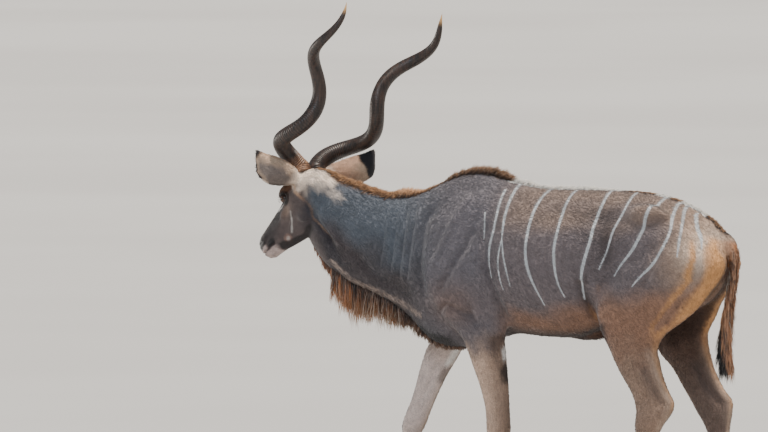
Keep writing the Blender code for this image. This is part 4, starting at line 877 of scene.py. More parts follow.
STRIPES = [(strength, catmull(line, 4)) for strength, line in STRIPES]
STRIPE_HALF = 0.0060
# the white of the stripes, painted greyer and bluer as white looks in shade
SHADED_STRIPE_WHITE = tone(190, 192, 194)


def stripe_field(spots, facing):
    """Above 0.5 inside a white stripe, falling evenly to 0 outside."""
    best = np.zeros(len(spots))
    flank = (np.abs(facing[:, 1]) + np.maximum(facing[:, 2], 0) > 0.2) & (spots[:, 2] > 0.85)
    flank &= (spots[:, 0] > -0.45) & (spots[:, 0] < 0.60)
    for side in (-1, 1):
        part = np.nonzero(flank & (spots[:, 1] * side > 0))[0]
        for k, (strength, line) in enumerate(STRIPES):
            drift = 0.0 if side < 0 else 0.012 * math.sin(2.3 * k)
            flat = spots[part][:, [0, 2]] - np.array((drift, 0))
            off, where = line_distance(flat, line)
            half = STRIPE_HALF * (0.40 + 0.60 * ease(1.0, 0.60, where)) * (0.6 + 0.4 * strength)
            value = np.clip(1 - off / (2 * half), 0, 1) * (0.60 + 0.40 * strength)
            best[part] = np.maximum(best[part], value)
    return best


def ripples(spots, size, seed):
    """Soft random waves between about -1 and 1."""
    rng = np.random.default_rng(seed)
    total = np.zeros(len(spots))
    for k in range(10):
        d = rng.normal(size=3)
        d *= 2 * math.pi / size * rng.uniform(0.6, 1.6) / np.linalg.norm(d)
        total += np.sin(spots @ d + rng.uniform(0, 6.28))
    return total / 3.2


def mix(colours, other, weight):
    return colours + (other - colours) * np.clip(weight, 0, 1)[:, None]

# %% Colours of the trunk and legs
# the edge of the neck's side behind the cheek and along the throat, as places (x, z)
CHEEK_EDGE = [(-1.262, 1.300), (-1.219, 1.273), (-1.187, 1.240), (-1.179, 1.196), (-1.150, 1.174),
              (-1.107, 1.138), (-1.085, 1.111), (-1.057, 1.062)]
THROAT_BAND = [(-1.112, 1.037), (-1.073, 1.008), (-1.032, 0.976), (-0.990, 0.954), (-0.917, 0.936),
               (-0.846, 0.914), (-0.771, 0.888), (-0.700, 0.858)]
CHEST_STRIP = [(-0.700, 0.790), (-0.674, 0.774), (-0.651, 0.760), (-0.624, 0.746), (-0.595, 0.734)]
POLL_PATCH = [(-1.250, 1.368), (-1.205, 1.352), (-1.170, 1.352), (-1.125, 1.346)]
POLL_STREAKS = [[(-1.225, 1.345), (-1.215, 1.291)], [(-1.185, 1.335), (-1.151, 1.315), (-1.103, 1.297), (-1.072, 1.280)]]


def near_line(first, second, line):
    """Distance from a line, in two of the coordinates."""
    return line_distance(np.stack([first, second], 1), line)[0]


def trunk_level(spots):
    """0 on the underline and 1 on the top line of the trunk and neck."""
    rows = np.array(TRUNK)[::-1]
    top = np.interp(spots[:, 0], rows[:, 0], rows[:, 1])
    bottom = np.interp(spots[:, 0], rows[:, 2], rows[:, 3])
    return (spots[:, 2] - bottom) / np.maximum(top - bottom, 0.05)


def before_edge(spots):
    """1 on the throat in front of the cheek edge."""
    line = np.array(CHEEK_EDGE)[::-1]
    return ease(0.004, -0.010, spots[:, 0] - np.interp(spots[:, 2], line[:, 1], line[:, 0]))


def body_colour(spots, facing):
    x, y, z = spots.T
    flat = spots[:, [0, 2]]
    level = trunk_level(spots)
    soft = 0.25 * ripples(spots, 0.16, 3)
    fine = ripples(spots, 0.03, 4)
    top, low = ease(0.3, 0.6, facing[:, 2]), ease(-0.75, -0.95, facing[:, 2])
    c = np.tile(FAWN, (len(spots), 1))
    c = mix(c, WARM_BACK, 0.9 * ease(0.62, 0.95, level + 0.3 * soft) * ease(-0.45, -0.20, x))
    c = mix(c, SHOULDER, 0.8 * ease(-0.28, -0.42, x))
    # painted sunlight: the rump is lighter and warmer, as where the sun falls on it
    c = mix(c, RUMP_TAN, 0.85 * ease(0.26, 0.50, x + 0.10 * soft) * ease(0.85, 1.05, z))
    c = mix(c, BELLY_TAN, 0.85 * ease(0.28, 0.04, level + 0.2 * soft) * ease(-0.36, -0.24, x))
    c = mix(c, NECK_GREY, ease(-0.54, -0.84, x + 0.06 * soft) * ease(1.38, 1.30, z + 0.1 * soft))
    c = mix(c, NECK_LOW, 0.9 * ease(0.62, 0.28, level + 0.3 * soft) * ease(-0.60, -0.76, x))
    # painted sunlight: a warm patch low on the shoulder
    c = mix(c, BELLY_TAN, 0.35 * np.exp(-((x + 0.52) / 0.13) ** 2 - ((z - 0.90) / 0.08) ** 2))
    # painted shade in the fold of the flank and in the hollow in front of the hip
    c = mix(c, DARK_BROWN, 0.45 * np.exp(-((x - 0.052) / 0.018) ** 2 - ((z - 0.93) / 0.10) ** 2))
    c = mix(c, DARK_BROWN, 0.50 * np.exp(-((x - 0.140) / 0.032) ** 2 - ((z - 1.160) / 0.065) ** 2))
    # painted highlight: a pale patch on the rump beside the tail root
    c = mix(c, POLL_CREAM, 0.60 * np.exp(-((x - 0.50) / 0.06) ** 2 - ((z - 1.13) / 0.07) ** 2))
    c = mix(c, DARK_BROWN, 0.8 * (low + ease(0.030, 0.012, level + 0.006 * fine)) * band(-0.34, 0.12, 0.04, x) * (z < 0.86))
    chest = ease(-0.90, -0.97, facing[:, 2]) + ease(0.100, 0.060, level + 0.01 * fine) * ease(-0.54, -0.60, x)
    c = mix(c, BLACKISH, 0.9 * chest * band(-0.74, -0.44, 0.03, x) * (z < 0.82) * (np.abs(y) < 0.09))
    strip = ease(0.022, 0.010, near_line(x, z, CHEST_STRIP) + 0.004 * fine)
    c = mix(c, BLACKISH, 0.85 * strip)
    # painted shade on the throat in front of the cheek edge
    throat = ease(-1.00, -1.06, x) * before_edge(spots) * (1 - on_face(spots))
    c = mix(c, PAINTED_SHADE_GREY, 0.9 * throat)
    # painted rim light along the cheek edge, the sunlit edge of the neck's side
    c = mix(c, SUNLIT_RIM_TAN, 0.5 * ease(0.0060, 0.0015, near_line(x, z, CHEEK_EDGE) + 0.001 * fine) * ease(-1.06, -1.18, x))
    c = mix(c, DARK_BROWN, 0.8 * ease(-0.74, -0.82, x) * ease(0.10, 0.04, level + 0.02 * fine) * ease(-1.13, -1.09, x))
    pale = ease(0.020, 0.008, near_line(x, z, THROAT_BAND) + 0.005 * fine)
    c = mix(c, THROAT_BEIGE, (0.55 + 0.25 * np.sign(fine)) * pale * (level < 0.5))
    # the cream of the poll is partly its pale hair and partly painted sunlight on the top of the neck
    patch = ease(0.052, 0.006, near_line(x, z, POLL_PATCH) + 0.007 * fine)
    for streak in POLL_STREAKS:
        patch = np.maximum(patch, 0.5 * ease(0.026, 0.000, near_line(x, z, streak) + 0.007 * fine))
    c = mix(c, POLL_CREAM, 0.85 * patch * (z > 1.2))
    white = band(-0.36, 0.10, 0.02, x) + band(0.256, 0.307, 0.01, x) + band(0.37, 0.46, 0.01, x)
    middle = ease(0.024, 0.010, np.abs(y) + 0.004 * fine) * top
    c = mix(c, DARK_BROWN, middle * (band(0.12, 0.55, 0.02, x) + band(-0.64, -0.36, 0.03, x)))
    c = mix(c, WHITE, ease(0.020, 0.010, np.abs(y) + 0.003 * fine) * top * white)
    nape = ease(0.036, 0.018, np.abs(y - 0.012) + 0.004 * fine) * ease(-0.66, -0.74, x) * top * (z > 1.2)
    return mix(c, BROW_BROWN, 0.9 * nape * ease(-1.17, -1.12, x))


def leg_colour(spots, facing, c):
    z = spots[:, 2]
    which, along, outward, away = leg_local(spots)
    near = ease(0.25, 0.05, away)
    fore, hind = ((which == 0) | (which == 1)) * near, (which >= 2) * near
    soft = 0.02 * ripples(spots, 0.08, 5)
    c = mix(c, LEG_TAN, ease(0.82, 0.66, z + soft) * 0.9 * (fore + hind))
    # painted sunlight on the front of the near foreleg and on the far foreleg, palest on its inner side
    c = mix(c, SUNLIT_FORELEG_PALE, 0.85 * (which == 0) * near * ease(0.9, -0.5, along) * ease(0.80, 0.66, z + soft))
    c = mix(c, SUNLIT_FORELEG_PALE, 0.6 * (which == 1) * near * ease(0.80, 0.66, z))
    c = mix(c, tone(216, 200, 194), 0.7 * (which == 1) * near * ease(0.82, 0.70, z) * ease(0.3, -0.3, outward))
    c = mix(c, SHIN_PALE, ease(0.46, 0.30, z + soft) * ease(0.6, -0.4, along) * 0.8)
    c = mix(c, SHIN_PALE, 0.45 * hind * ease(0.5, 0.9, along) * band(0.30, 0.74, 0.05, z))
    behind = ease(0.45, 0.75, along)
    inside = ease(-0.25, -0.65, outward)
    # painted sunlight on the rear-facing surfaces of the thighs and hocks
    c = mix(c, SUNLIT_EDGE_TAN, hind * ease(0.30, 0.75, facing[:, 0]) * band(0.84, 1.14, 0.06, z + soft))
    c = mix(c, SUNLIT_EDGE_TAN, 0.4 * hind * ease(0.5, 0.9, facing[:, 0]) * band(0.56, 0.84, 0.05, z))
    # painted shade: the far hind leg's inner side, the inner thighs and the groove in front of the hock tendon are
    # darkened where shade falls
    c = mix(c, PAINTED_SHADE_GREY, 0.55 * (which == 3) * near * inside)
    c = mix(c, DARK_BROWN, 0.75 * hind * inside * band(0.80, 1.06, 0.06, z + soft))
    groove_shade = np.exp(-((along - 0.40) / 0.28) ** 2) * ease(0.1, 0.8, np.abs(outward))
    c = mix(c, PAINTED_SHADE_GREY, 0.45 * hind * groove_shade * band(0.60, 0.68, 0.06, z))
    white = fore * ease(0.80, 0.97, along) * ease(0.6, 0.3, outward) * band(0.700, 0.735, 0.012, z + 0.5 * soft)
    c = mix(c, WHITE, 0.9 * np.where(which == 1, fore * ease(0.1, -0.5, outward) * behind
                                     * band(0.660, 0.735, 0.015, z + 0.5 * soft), white))
    dark = ease(0.55, 0.80, along) * ease(0.9, 0.5, outward) + ease(-0.70, -0.90, outward)
    c = mix(c, BLACKISH, 0.85 * (which == 0) * near * dark * band(0.620, 0.675, 0.015, z + 0.5 * soft))
    c = mix(c, BLACKISH, 0.50 * (which == 1) * near * behind * band(0.600, 0.640, 0.015, z + 0.5 * soft))
    leg = (fore + hind) * (z < 0.2)
    c = mix(c, WHITE, 0.75 * leg * ease(0.2, -0.5, along) * band(0.070, 0.105, 0.012, z))
    c = mix(c, DARK_BROWN, 0.9 * leg * ease(0.0, 0.6, along) * band(0.080, 0.150, 0.02, z))
    return mix(c, BLACKISH, leg * ease(0.004, -0.001, above_hoof(spots, which)))

# %% Colours of the head, the ears and the tail
# lines on the face, as places (along the nose, out of the brow)
CHEVRON = [(0.136, -0.034), (0.150, -0.037), (0.166, -0.035), (0.186, -0.024), (0.205, -0.012), (0.216, -0.002)]
CHEEK_STREAK = [(0.143, -0.090), (0.160, -0.104), (0.182, -0.117), (0.205, -0.128)]
JAW_STRIPE = [(0.292, -0.110), (0.262, -0.132), (0.226, -0.157), (0.186, -0.178), (0.130, -0.190)]
FACE_BLACK = tone(34, 28, 30)


def head_colour(spots, facing, c, bare):
    along, out, across = head_local(spots).T
    wide = np.abs(across)
    soft = ripples(spots, 0.05, 9)
    f = np.tile(FACE_BROWN, (len(spots), 1))
    # painted shade under the jaw, on the throat side of the head
    f = mix(f, PAINTED_SHADE_GREY, 0.8 * ease(-0.10, -0.17, out + 0.01 * soft) * ease(0.20, 0.10, along))
    f = mix(f, BROW_BROWN, 0.85 * ease(-0.055, -0.025, out) * ease(0.15, 0.10, along + 0.006 * soft))
    under_eye = np.exp(-((along - 0.150) / 0.030) ** 2 - ((out + 0.068) / 0.020) ** 2)
    f = mix(f, tone(142, 120, 106), 0.75 * under_eye)
    side_dark = ease(-0.088, -0.055, out + 0.35 * (along - 0.25) + 0.004 * soft) * ease(0.150, 0.200, along)
    f = mix(f, FACE_BLACK, 0.65 * side_dark)
    bridge = ease(-0.052, -0.026, out + 0.003 * soft + 0.05 * (along - 0.2)) * ease(0.155, 0.185, along)
    f = mix(f, FACE_BLACK, 0.9 * bridge)
    # the cream of the poll and at the ear foot is partly pale hair and partly painted sunlight
    poll = ease(0.050, 0.015, along + 0.008 * soft) * ease(-0.14, -0.06, out)
    f = mix(f, POLL_CREAM, 0.9 * poll * ease(-0.12, -0.05, along))
    ear_foot = ease(0.052, 0.036, np.hypot(along - 0.030, out + 0.045)) * ease(0.045, 0.060, wide)
    f = mix(f, POLL_CREAM, 0.5 * ear_foot)
    # painted rim light: the same sunlit edge where it runs up behind the cheek onto the head
    warm = near_line(along, out, [(0.040, -0.030), (0.066, -0.063), (0.060, -0.112), (0.062, -0.155)])
    f = mix(f, SUNLIT_RIM_TAN, 0.6 * ease(0.0075, 0.0030, warm + 0.0015 * soft) * (wide > 0.03) * ease(-0.14, -0.08, out))
    eye_off = np.min([np.linalg.norm(spots - np.array(eye_place(s)), axis=1) for s in (1, -1)], axis=0)
    f = mix(f, tone(52, 40, 36), 0.9 * ease(0.033, 0.024, eye_off + 0.003 * soft))
    white = ease(0.0052, 0.0022, near_line(along, out, CHEVRON) + 0.0008 * soft) * (out > -0.050)
    f = mix(f, WHITE, 0.85 * white * ease(0.002, 0.010, wide))
    streak = ease(0.0085, 0.0000, near_line(along, out, CHEEK_STREAK) + 0.0012 * soft) * (wide > 0.02)
    f = mix(f, WHITE, 0.40 * streak)
    spot = np.hypot(along - 0.241, out + 0.128)
    f = mix(f, tone(138, 104, 90), 0.6 * ease(0.026, 0.012, spot) * (wide > 0.012))
    f = mix(f, WHITE, 0.32 * ease(0.0140, 0.0030, spot + 0.002 * soft) * (wide > 0.012))
    mouth = MOUTH_OUT + 0.25 * (MOUTH_FRONT - along)
    f = mix(f, tone(26, 22, 24), 0.95 * ease(0.020, 0.009, np.hypot((along - 0.305) * 0.8, out + 0.074)))
    f = mix(f, tone(30, 24, 24), 0.9 * ease(0.017, 0.008, near_line(along, out, JAW_STRIPE) + 0.002 * soft))
    chin = ease(-0.003, -0.009, out + mouth + 0.002 * soft) * ease(0.290, 0.312, along + 0.006 * soft)
    f = mix(f, LIP_WHITE, 0.85 * chin)
    f = mix(f, LIP_WHITE, 0.8 * band(0.004, 0.018, 0.004, out + mouth) * ease(0.325, 0.340, along))
    line = ease(0.0032, 0.0014, np.abs(out + mouth)) * ease(MOUTH_CORNER, 0.295, along)
    f = mix(f, tone(56, 40, 38), line)
    pad = ease(0.338, 0.348, along + 0.25 * (out + 0.04)) * ease(-0.062, -0.054, out)
    nose = np.maximum(pad, ease(2.6, 1.4, np.hypot((along - NOSTRIL[0]) / 0.012, (out - NOSTRIL[1]) / 0.010)))
    f = mix(f, tone(24, 21, 22), nose)
    lid = ease(0.0250, 0.0215, eye_off)
    f = mix(f, tone(24, 19, 18), lid)
    head = on_face(spots)
    bare = np.maximum(bare, head * np.maximum(np.maximum(nose, lid), line))
    return c + (f - c) * head[:, None], bare


def ear_colour(spots, facing, c):
    ear, along = on_ear(spots)
    table = np.array(EAR_SHAPE)
    half, drop = (np.interp(along, table[:, 0], table[:, k]) for k in (1, 2))
    soft = ripples(spots, 0.04, 11)
    fine = ripples(spots, 0.014, 12)
    # painted shade: the back of the near ear is grey as in shade, while the far ear below is beige as in light
    e = np.tile(SHADED_EAR_GREY, (len(spots), 1))
    left = head_local(spots)[:, 2] > 0
    inner, across = np.zeros(len(spots)), np.zeros(len(spots))
    for s, part in ((1, left), (-1, ~left)):
        tip, base, axis, face, wide = ear_frame(s)
        inner = np.where(part, facing @ np.array(face), inner)
        across = np.where(part, (spots - np.array(base)) @ np.array(wide), across)
    high, low = across - drop + half, drop + half - across
    # painted sunlight on the upper part of the near ear
    tan = ease(0.062, 0.016, high + 0.004 * soft + 0.002 * fine) * ease(0.02, 0.15, along) * left
    e = mix(e, EAR_CREAM, 0.9 * tan)
    # painted rim light along the upper edge of the near ear
    e = mix(e, SUNLIT_RIM_TAN, 0.8 * ease(0.014, 0.006, high + 0.003 * soft) * left)
    e = mix(e, EAR_CREAM, 0.45 * ease(0.018, 0.008, low + 0.002 * fine) * ease(0.55, 0.70, along) * left)
    pale = np.exp(-((along - 0.32) / 0.09) ** 2 - ((across - 0.012 + 0.05 * (along - 0.32)) / 0.006) ** 2)
    e = mix(e, EAR_CREAM, 0.6 * pale * left * (fine > -0.4))
    e = mix(e, tone(70, 58, 52), 0.7 * ease(0.012, 0.004, low) * ease(0.6, 0.4, along) * left)
    e = mix(e, BROW_BROWN, 0.7 * ease(0.22, 0.10, along) * ease(0.016, 0.004, low) * left)
    beige = np.tile(tone(178, 142, 118), (len(spots), 1))
    beige = mix(beige, EAR_CREAM, ease(0.35, 0.60, along + 0.05 * soft) * ease(-0.01, 0.03, across))
    e = np.where(left[:, None], e, beige)
    e = mix(e, EAR_PINK, ease(0.25, 0.6, inner) * ease(0.92, 0.80, along))
    e = mix(e, EAR_CREAM, 0.7 * ease(0.25, 0.6, inner) * ease(0.016, 0.006, np.minimum(high, low)))
    e = mix(e, tone(46, 36, 34), ease(0.0045, 0.0025, low) * ease(0.45, 0.60, along) * left)
    # a darker tip on the near ear; on the far ear the dark part is the horn's painted shadow
    dark_from = np.where(left, 0.90 + 0.6 * np.maximum(across - 0.02, 0), 0.66 - 2.0 * np.minimum(across, 0))
    e = mix(e, tone(34, 30, 34), ease(-0.02, 0.04, along - dark_from + 0.015 * soft))
    return c + (e - c) * ear[:, None]


def tail_colour(spots, facing, c):
    x, y, z = spots.T
    rows = np.array(TAIL)[::-1]
    middle = np.interp(z, rows[:, 1], rows[:, 0])
    near = ease(0.045, 0.030, np.hypot(x - middle, y)) * ease(1.17, 1.14, z) * (z > 0.65) * (x > 0.51)
    t = np.tile(TAIL_TAN, (len(spots), 1))
    t = mix(t, DARK_BROWN, 0.7 * band(0.96, 1.10, 0.03, z) * ease(0.0, 0.5, facing[:, 0]))
    t = mix(t, WHITE, 0.7 * ease(-0.3, -0.8, facing[:, 0]) * ease(0.96, 1.02, z))
    t = mix(t, BLACKISH, band(0.765, 0.845, 0.015, z))
    c = c + (t - c) * near[:, None]
    patch = ease(0.040, 0.018, np.hypot(np.abs(y) - 0.040, z - 1.130)) * (x > 0.50)
    return mix(c, RUMP_TAN * 1.3, 0.7 * patch)


def coat_colour(spots, facing):
    """Colour of skin and hair at a place on the animal, with its painted light and shade, and how bare and moist it is.
    """
    bare = np.zeros(len(spots))
    c = leg_colour(spots, facing, body_colour(spots, facing))
    c, bare = head_colour(spots, facing, c, bare)
    c = ear_colour(spots, facing, c)
    c = tail_colour(spots, facing, c)
    # painted shade and highlight: darker in the creases and lighter on the swellings of the body's forms, less so on
    # the rump
    painted_form_light = np.clip(16 * body_forms(spots, facing), -0.36, 0.20) * (spots[:, 2] > 0.55) * (1 - on_face(spots))
    painted_form_light *= 1 - 0.65 * ease(0.16, 0.34, spots[:, 0])
    c = c * (1 + painted_form_light + 0.06 * ripples(spots, 0.022, 21) + 0.05 * ripples(spots, 0.09, 22))[:, None]
    return np.clip(c, 0.002, 0.95), bare


# %% [markdown]
# ## Fewer faces where they are not needed
# The flanks need far fewer faces than the lips. Decimate is weighted so that the face and the stripes keep
# their full detail.

# %% Thin out the body
SKIN_FACES = 188000


def thin_out(thing, triangles, weights):
    weight_group(thing, "thin", weights)
    fewer = thing.modifiers.new("thin", "DECIMATE")
    fewer.ratio = min(1.0, triangles / sum(len(p.vertices) - 2 for p in thing.data.polygons))
    fewer.vertex_group = "thin"
    fewer.use_collapse_triangulate = True
    apply_modifiers(thing)
    thing.vertex_groups.clear()


spots, facing = place_arrays(skin.data)
keep = np.maximum(on_face(spots) * ease(-0.02, 0.02, head_local(spots)[:, 0]), 0.5 * on_ear(spots)[0])
keep = np.maximum(keep, 0.7 * (stripe_field(spots, facing) > 0.15))
thin_out(skin, SKIN_FACES, 1 - 0.9 * keep)
print("skin", len(skin.data.polygons), "triangles")

# %% Colour of the skin
def paint(mesh, name, values):
    """Store one colour a vertex."""
    layer = mesh.attributes.new(name, "FLOAT_COLOR", "POINT")
    layer.data.foreach_set("color", values.astype(np.float32).ravel())


spots, facing = place_arrays(skin.data)
colour, bare = coat_colour(spots, facing)
stripe = stripe_field(spots, facing)
paint(skin.data, "coat", np.column_stack([colour, np.ones(len(spots))]))
paint(skin.data, "marks", np.column_stack([stripe, bare, bare * 0, np.ones(len(spots))]))
print("striped share of the skin", round(float((stripe > 0.5).mean()), 4))

# %% [markdown]
# ## Materials of skin and hair
# The skin takes its colour from the painted attribute. Fine waves of noise, stretched along the lie of the
# hair, give the bump of the short coat, and a little sheen gives its soft edge. Only nose, lips and lids are
# moist enough to shine.

# %% Material helpers
def new_material(name):
    stuff = bpy.data.materials.new(name)
    stuff.use_nodes = True
    tree = stuff.node_tree
    return stuff, tree, tree.nodes["Principled BSDF"]


def node(tree, kind, **settings):
    made = tree.nodes.new(kind)
    for key, value in settings.items():
        if key in made.inputs:
            made.inputs[key].default_value = value
        else:
            setattr(made, key, value)
    return made


def noise(tree, scale, detail=3.0, stretch=(1, 1, 1)):
    """Noise on the object's own coordinates, stretched by a Mapping node."""
    where = node(tree, "ShaderNodeTexCoord")
    turn = node(tree, "ShaderNodeMapping")
    turn.inputs["Scale"].default_value = stretch
    waves = node(tree, "ShaderNodeTexNoise")
    waves.inputs["Scale"].default_value = scale
    waves.inputs["Detail"].default_value = detail
    tree.links.new(where.outputs["Object"], turn.inputs["Vector"])
    tree.links.new(turn.outputs["Vector"], waves.inputs["Vector"])
    return waves.outputs["Fac"]


def ramp(tree, source, low, high, to_low=0.0, to_high=1.0):
    step = node(tree, "ShaderNodeMapRange")
    step.interpolation_type = "SMOOTHSTEP"
    for key, value in (("From Min", low), ("From Max", high), ("To Min", to_low), ("To Max", to_high)):
        step.inputs[key].default_value = value
    tree.links.new(source, step.inputs["Value"])
    return step.outputs["Result"]


def blend_colour(tree, factor, first, second, kind="MIX"):
    """A Mix node; factor, first and second are numbers, colours or sockets."""
    made = node(tree, "ShaderNodeMix", data_type="RGBA", blend_type=kind)
    for slot, value in ((0, factor), (6, first), (7, second)):
        if isinstance(value, bpy.types.NodeSocket):
            tree.links.new(value, made.inputs[slot])
        elif slot == 0:
            made.inputs[slot].default_value = value
        else:
            made.inputs[slot].default_value = (*value, 1)
    return made.outputs[2]


def bump(tree, shader, height, distance, strength=1.0):
    lift = node(tree, "ShaderNodeBump")
    lift.inputs["Distance"].default_value = distance
    lift.inputs["Strength"].default_value = strength
    tree.links.new(height, lift.inputs["Height"])
    tree.links.new(lift.outputs["Normal"], shader.inputs["Normal"])


# %% Skin and hair materials
def skin_material():
    stuff, tree, shader = new_material("kudu_skin")
    coat = node(tree, "ShaderNodeAttribute", attribute_name="coat")
    marks = node(tree, "ShaderNodeAttribute", attribute_name="marks")
    parts = node(tree, "ShaderNodeSeparateColor")
    tree.links.new(marks.outputs["Color"], parts.inputs["Color"])
    ragged = node(tree, "ShaderNodeMath", operation="MULTIPLY_ADD")
    tree.links.new(noise(tree, 160.0, 2.0), ragged.inputs[0])
    ragged.inputs[1].default_value = 0.10
    tree.links.new(parts.outputs["Red"], ragged.inputs[2])
    inside = ramp(tree, ragged.outputs[0], 0.46, 0.70)
    striped = blend_colour(tree, inside, coat.outputs["Color"], tuple(SHADED_STRIPE_WHITE))
    hairs = noise(tree, 420.0, 4.0, (0.35, 1.0, 0.6))
    dull = ramp(tree, hairs, 0.3, 0.7, 0.80, 1.12)
    shade = node(tree, "ShaderNodeCombineColor")
    for channel in ("Red", "Green", "Blue"):
        tree.links.new(dull, shade.inputs[channel])
    tree.links.new(blend_colour(tree, 1.0, striped, shade.outputs["Color"], "MULTIPLY"), shader.inputs["Base Color"])
    tree.links.new(ramp(tree, parts.outputs["Green"], 0.0, 1.0, 0.85, 0.38), shader.inputs["Roughness"])
    shader.inputs["Specular IOR Level"].default_value = 0.35
    shader.inputs["Sheen Weight"].default_value = 0.25
    shader.inputs["Sheen Roughness"].default_value = 0.45
    bump(tree, shader, hairs, 0.0022, 0.6)
    return stuff


def hair_material(name, rough=0.62, sheen=0.2):
    stuff, tree, shader = new_material(name)
    coat = node(tree, "ShaderNodeAttribute", attribute_name="coat")
    fine = noise(tree, 900.0, 2.0)
    dull = ramp(tree, fine, 0.3, 0.7, 0.88, 1.10)
    shade = node(tree, "ShaderNodeCombineColor")
    for channel in ("Red", "Green", "Blue"):
        tree.links.new(dull, shade.inputs[channel])
    tree.links.new(blend_colour(tree, 1.0, coat.outputs["Color"], shade.outputs["Color"], "MULTIPLY"),
                   shader.inputs["Base Color"])
    shader.inputs["Roughness"].default_value = rough
    shader.inputs["Specular IOR Level"].default_value = 0.3
    shader.inputs["Sheen Weight"].default_value = sheen
    shader.inputs["Sheen Roughness"].default_value = 0.5
    return stuff


skin.data.materials.append(skin_material())
skin.data.shade_smooth()
print("skin material ready")

# %% [markdown]
# ## The short coat
# Short fur that lies flat is mostly the bump of the skin, but its tips break the outline. Each tuft is a thin
# bent leaf of four triangles: a root under the skin, a raised middle and a tip that lies along the lie of
# the coat. Thousands of them are written at once from arrays, as one joined mesh a region. Each tuft's own
# patch on the map OFBake sits where its root is on an unwrap of the skin.

# %% Unwrap of the skin
def unwrap(thing):
    """Smart unwrap of the skin's own shape, with one map coordinate a face corner."""
    layer = thing.data.uv_layers.new(name="OFBake")
    bpy.ops.object.select_all(action="DESELECT")
    bpy.context.view_layer.objects.active = thing
    thing.select_set(True)
    bpy.ops.object.mode_set(mode="EDIT")
    bpy.ops.mesh.select_all(action="SELECT")
    bpy.ops.uv.smart_project(angle_limit=math.radians(72), island_margin=0.001)
    bpy.ops.object.mode_set(mode="OBJECT")
    flat = np.empty(len(thing.data.loops) * 2)
    thing.data.uv_layers["OFBake"].data.foreach_get("uv", flat)
    return flat.reshape(-1, 2)


corner_uv = unwrap(skin)
corners_of = np.empty(len(skin.data.loops), int)
skin.data.loops.foreach_get("vertex_index", corners_of)
corners_of = corners_of.reshape(-1, 3)
corner_uv = corner_uv.reshape(-1, 3, 2)
print("unwrapped", len(corners_of), "triangles")


# %% Roots spread over the skin
def spread_roots(density, seed):
    """Random places on the skin, as many a square metre as density(places) says."""
    rng = np.random.default_rng(seed)
    a, b, c = (spots[corners_of[:, k]] for k in range(3))
    area = np.linalg.norm(np.cross(b - a, c - a), axis=1) / 2
    wanted = area * density((a + b + c) / 3)
    total = int(wanted.sum())
    face = np.searchsorted(np.cumsum(wanted), rng.random(total) * wanted.sum())
    u, v = rng.random(total), rng.random(total)
    u, v = np.where(u + v > 1, 1 - u, u), np.where(u + v > 1, 1 - v, v)
    share = np.stack([1 - u - v, u, v], 1)
    at = (spots[corners_of[face]] * share[:, :, None]).sum(1)
    out = (facing[corners_of[face]] * share[:, :, None]).sum(1)
    uv = (corner_uv[face] * share[:, :, None]).sum(1)
    return at, out / np.linalg.norm(out, axis=1)[:, None], uv


def unit(vectors):
    return vectors / np.maximum(np.linalg.norm(vectors, axis=1), 1e-9)[:, None]


def lie_of_coat(spots, facing):
    """The way the hair lies: back and down on the body, up the face from the nose, along the ears."""
    x, y, z = spots.T
    way = np.tile((1.0, 0.0, -0.38), (len(spots), 1))
    way = way + (np.array((0.55, 0, -0.85)) - way) * ease(1.10, 0.85, z)[:, None]
    way = way + (np.array((0.10, 0, -1.0)) - way) * ease(0.85, 0.70, z)[:, None]
    way = way + (np.array((0.80, 0, -0.60)) - way) * ease(-0.70, -0.85, x)[:, None]
    rear = ease(0.40, 0.55, x) * ease(0.70, 0.80, z)
    way = way + (np.array((0.15, 0, -1.0)) - way) * rear[:, None]
    local = head_local(spots)
    head = on_face(spots)
    back_over = -np.array(NOSE) - 0.45 * np.array(BROW) * ease(-0.02, -0.10, local[:, 1])[:, None]
    way = way + (back_over - way) * head[:, None]
    ear = on_ear(spots)[0]
    for side in (1, -1):
        axis = np.array(ear_frame(side)[2])
        part = ear * (local[:, 2] * side > 0)
        way = way + (axis - way) * part[:, None]
    return unit(way - facing * (way * facing).sum(1)[:, None])


def hair_size(spots):
    """Length and width of the tufts: shorter on legs, ears and face, shortest by the eyes and the nose."""
    local = head_local(spots)
    head, ear = on_face(spots), on_ear(spots)[0]
    length = 0.0145 - 0.004 * ease(0.85, 0.60, spots[:, 2]) - 0.002 * ease(0.3, 0.1, spots[:, 2])
    length = length + (0.0080 - 0.0028 * ease(0.10, 0.30, local[:, 0]) - length) * head
    length = length + (0.0085 - length) * ear
    eye_off = np.min([np.linalg.norm(spots - np.array(eye_place(s)), axis=1) for s in (1, -1)], axis=0)
    length *= 0.45 + 0.55 * ease(0.020, 0.045, eye_off)
    return length, 0.0004 + length * 0.075


def hair_density(spots):
    """Tufts a square metre: denser where they are smaller, none on nose, lips, lids and soles."""
    length, width = hair_size(spots)
    along, out, across = head_local(spots).T
    head = on_face(spots)
    bare = head * (along > 0.338) * (out > -0.066)
    mouth = MOUTH_OUT + 0.25 * (MOUTH_FRONT - along)
    bare = np.maximum(bare, head * (along > 0.29) * (np.abs(out + mouth) < 0.004))
    eye_off = np.min([np.linalg.norm(spots - np.array(eye_place(s)), axis=1) for s in (1, -1)], axis=0)
    bare = np.maximum(bare, eye_off < 0.0245)
    dense = COAT_DENSITY * np.minimum((0.0145 / length) ** 1.5, 3.4)
    on_foot = (spots[:, 2] < 0.09) & (above_hoof(spots, leg_local(spots)[0]) < 0.0005)
    return dense * (1 - bare) * (1 - on_foot)


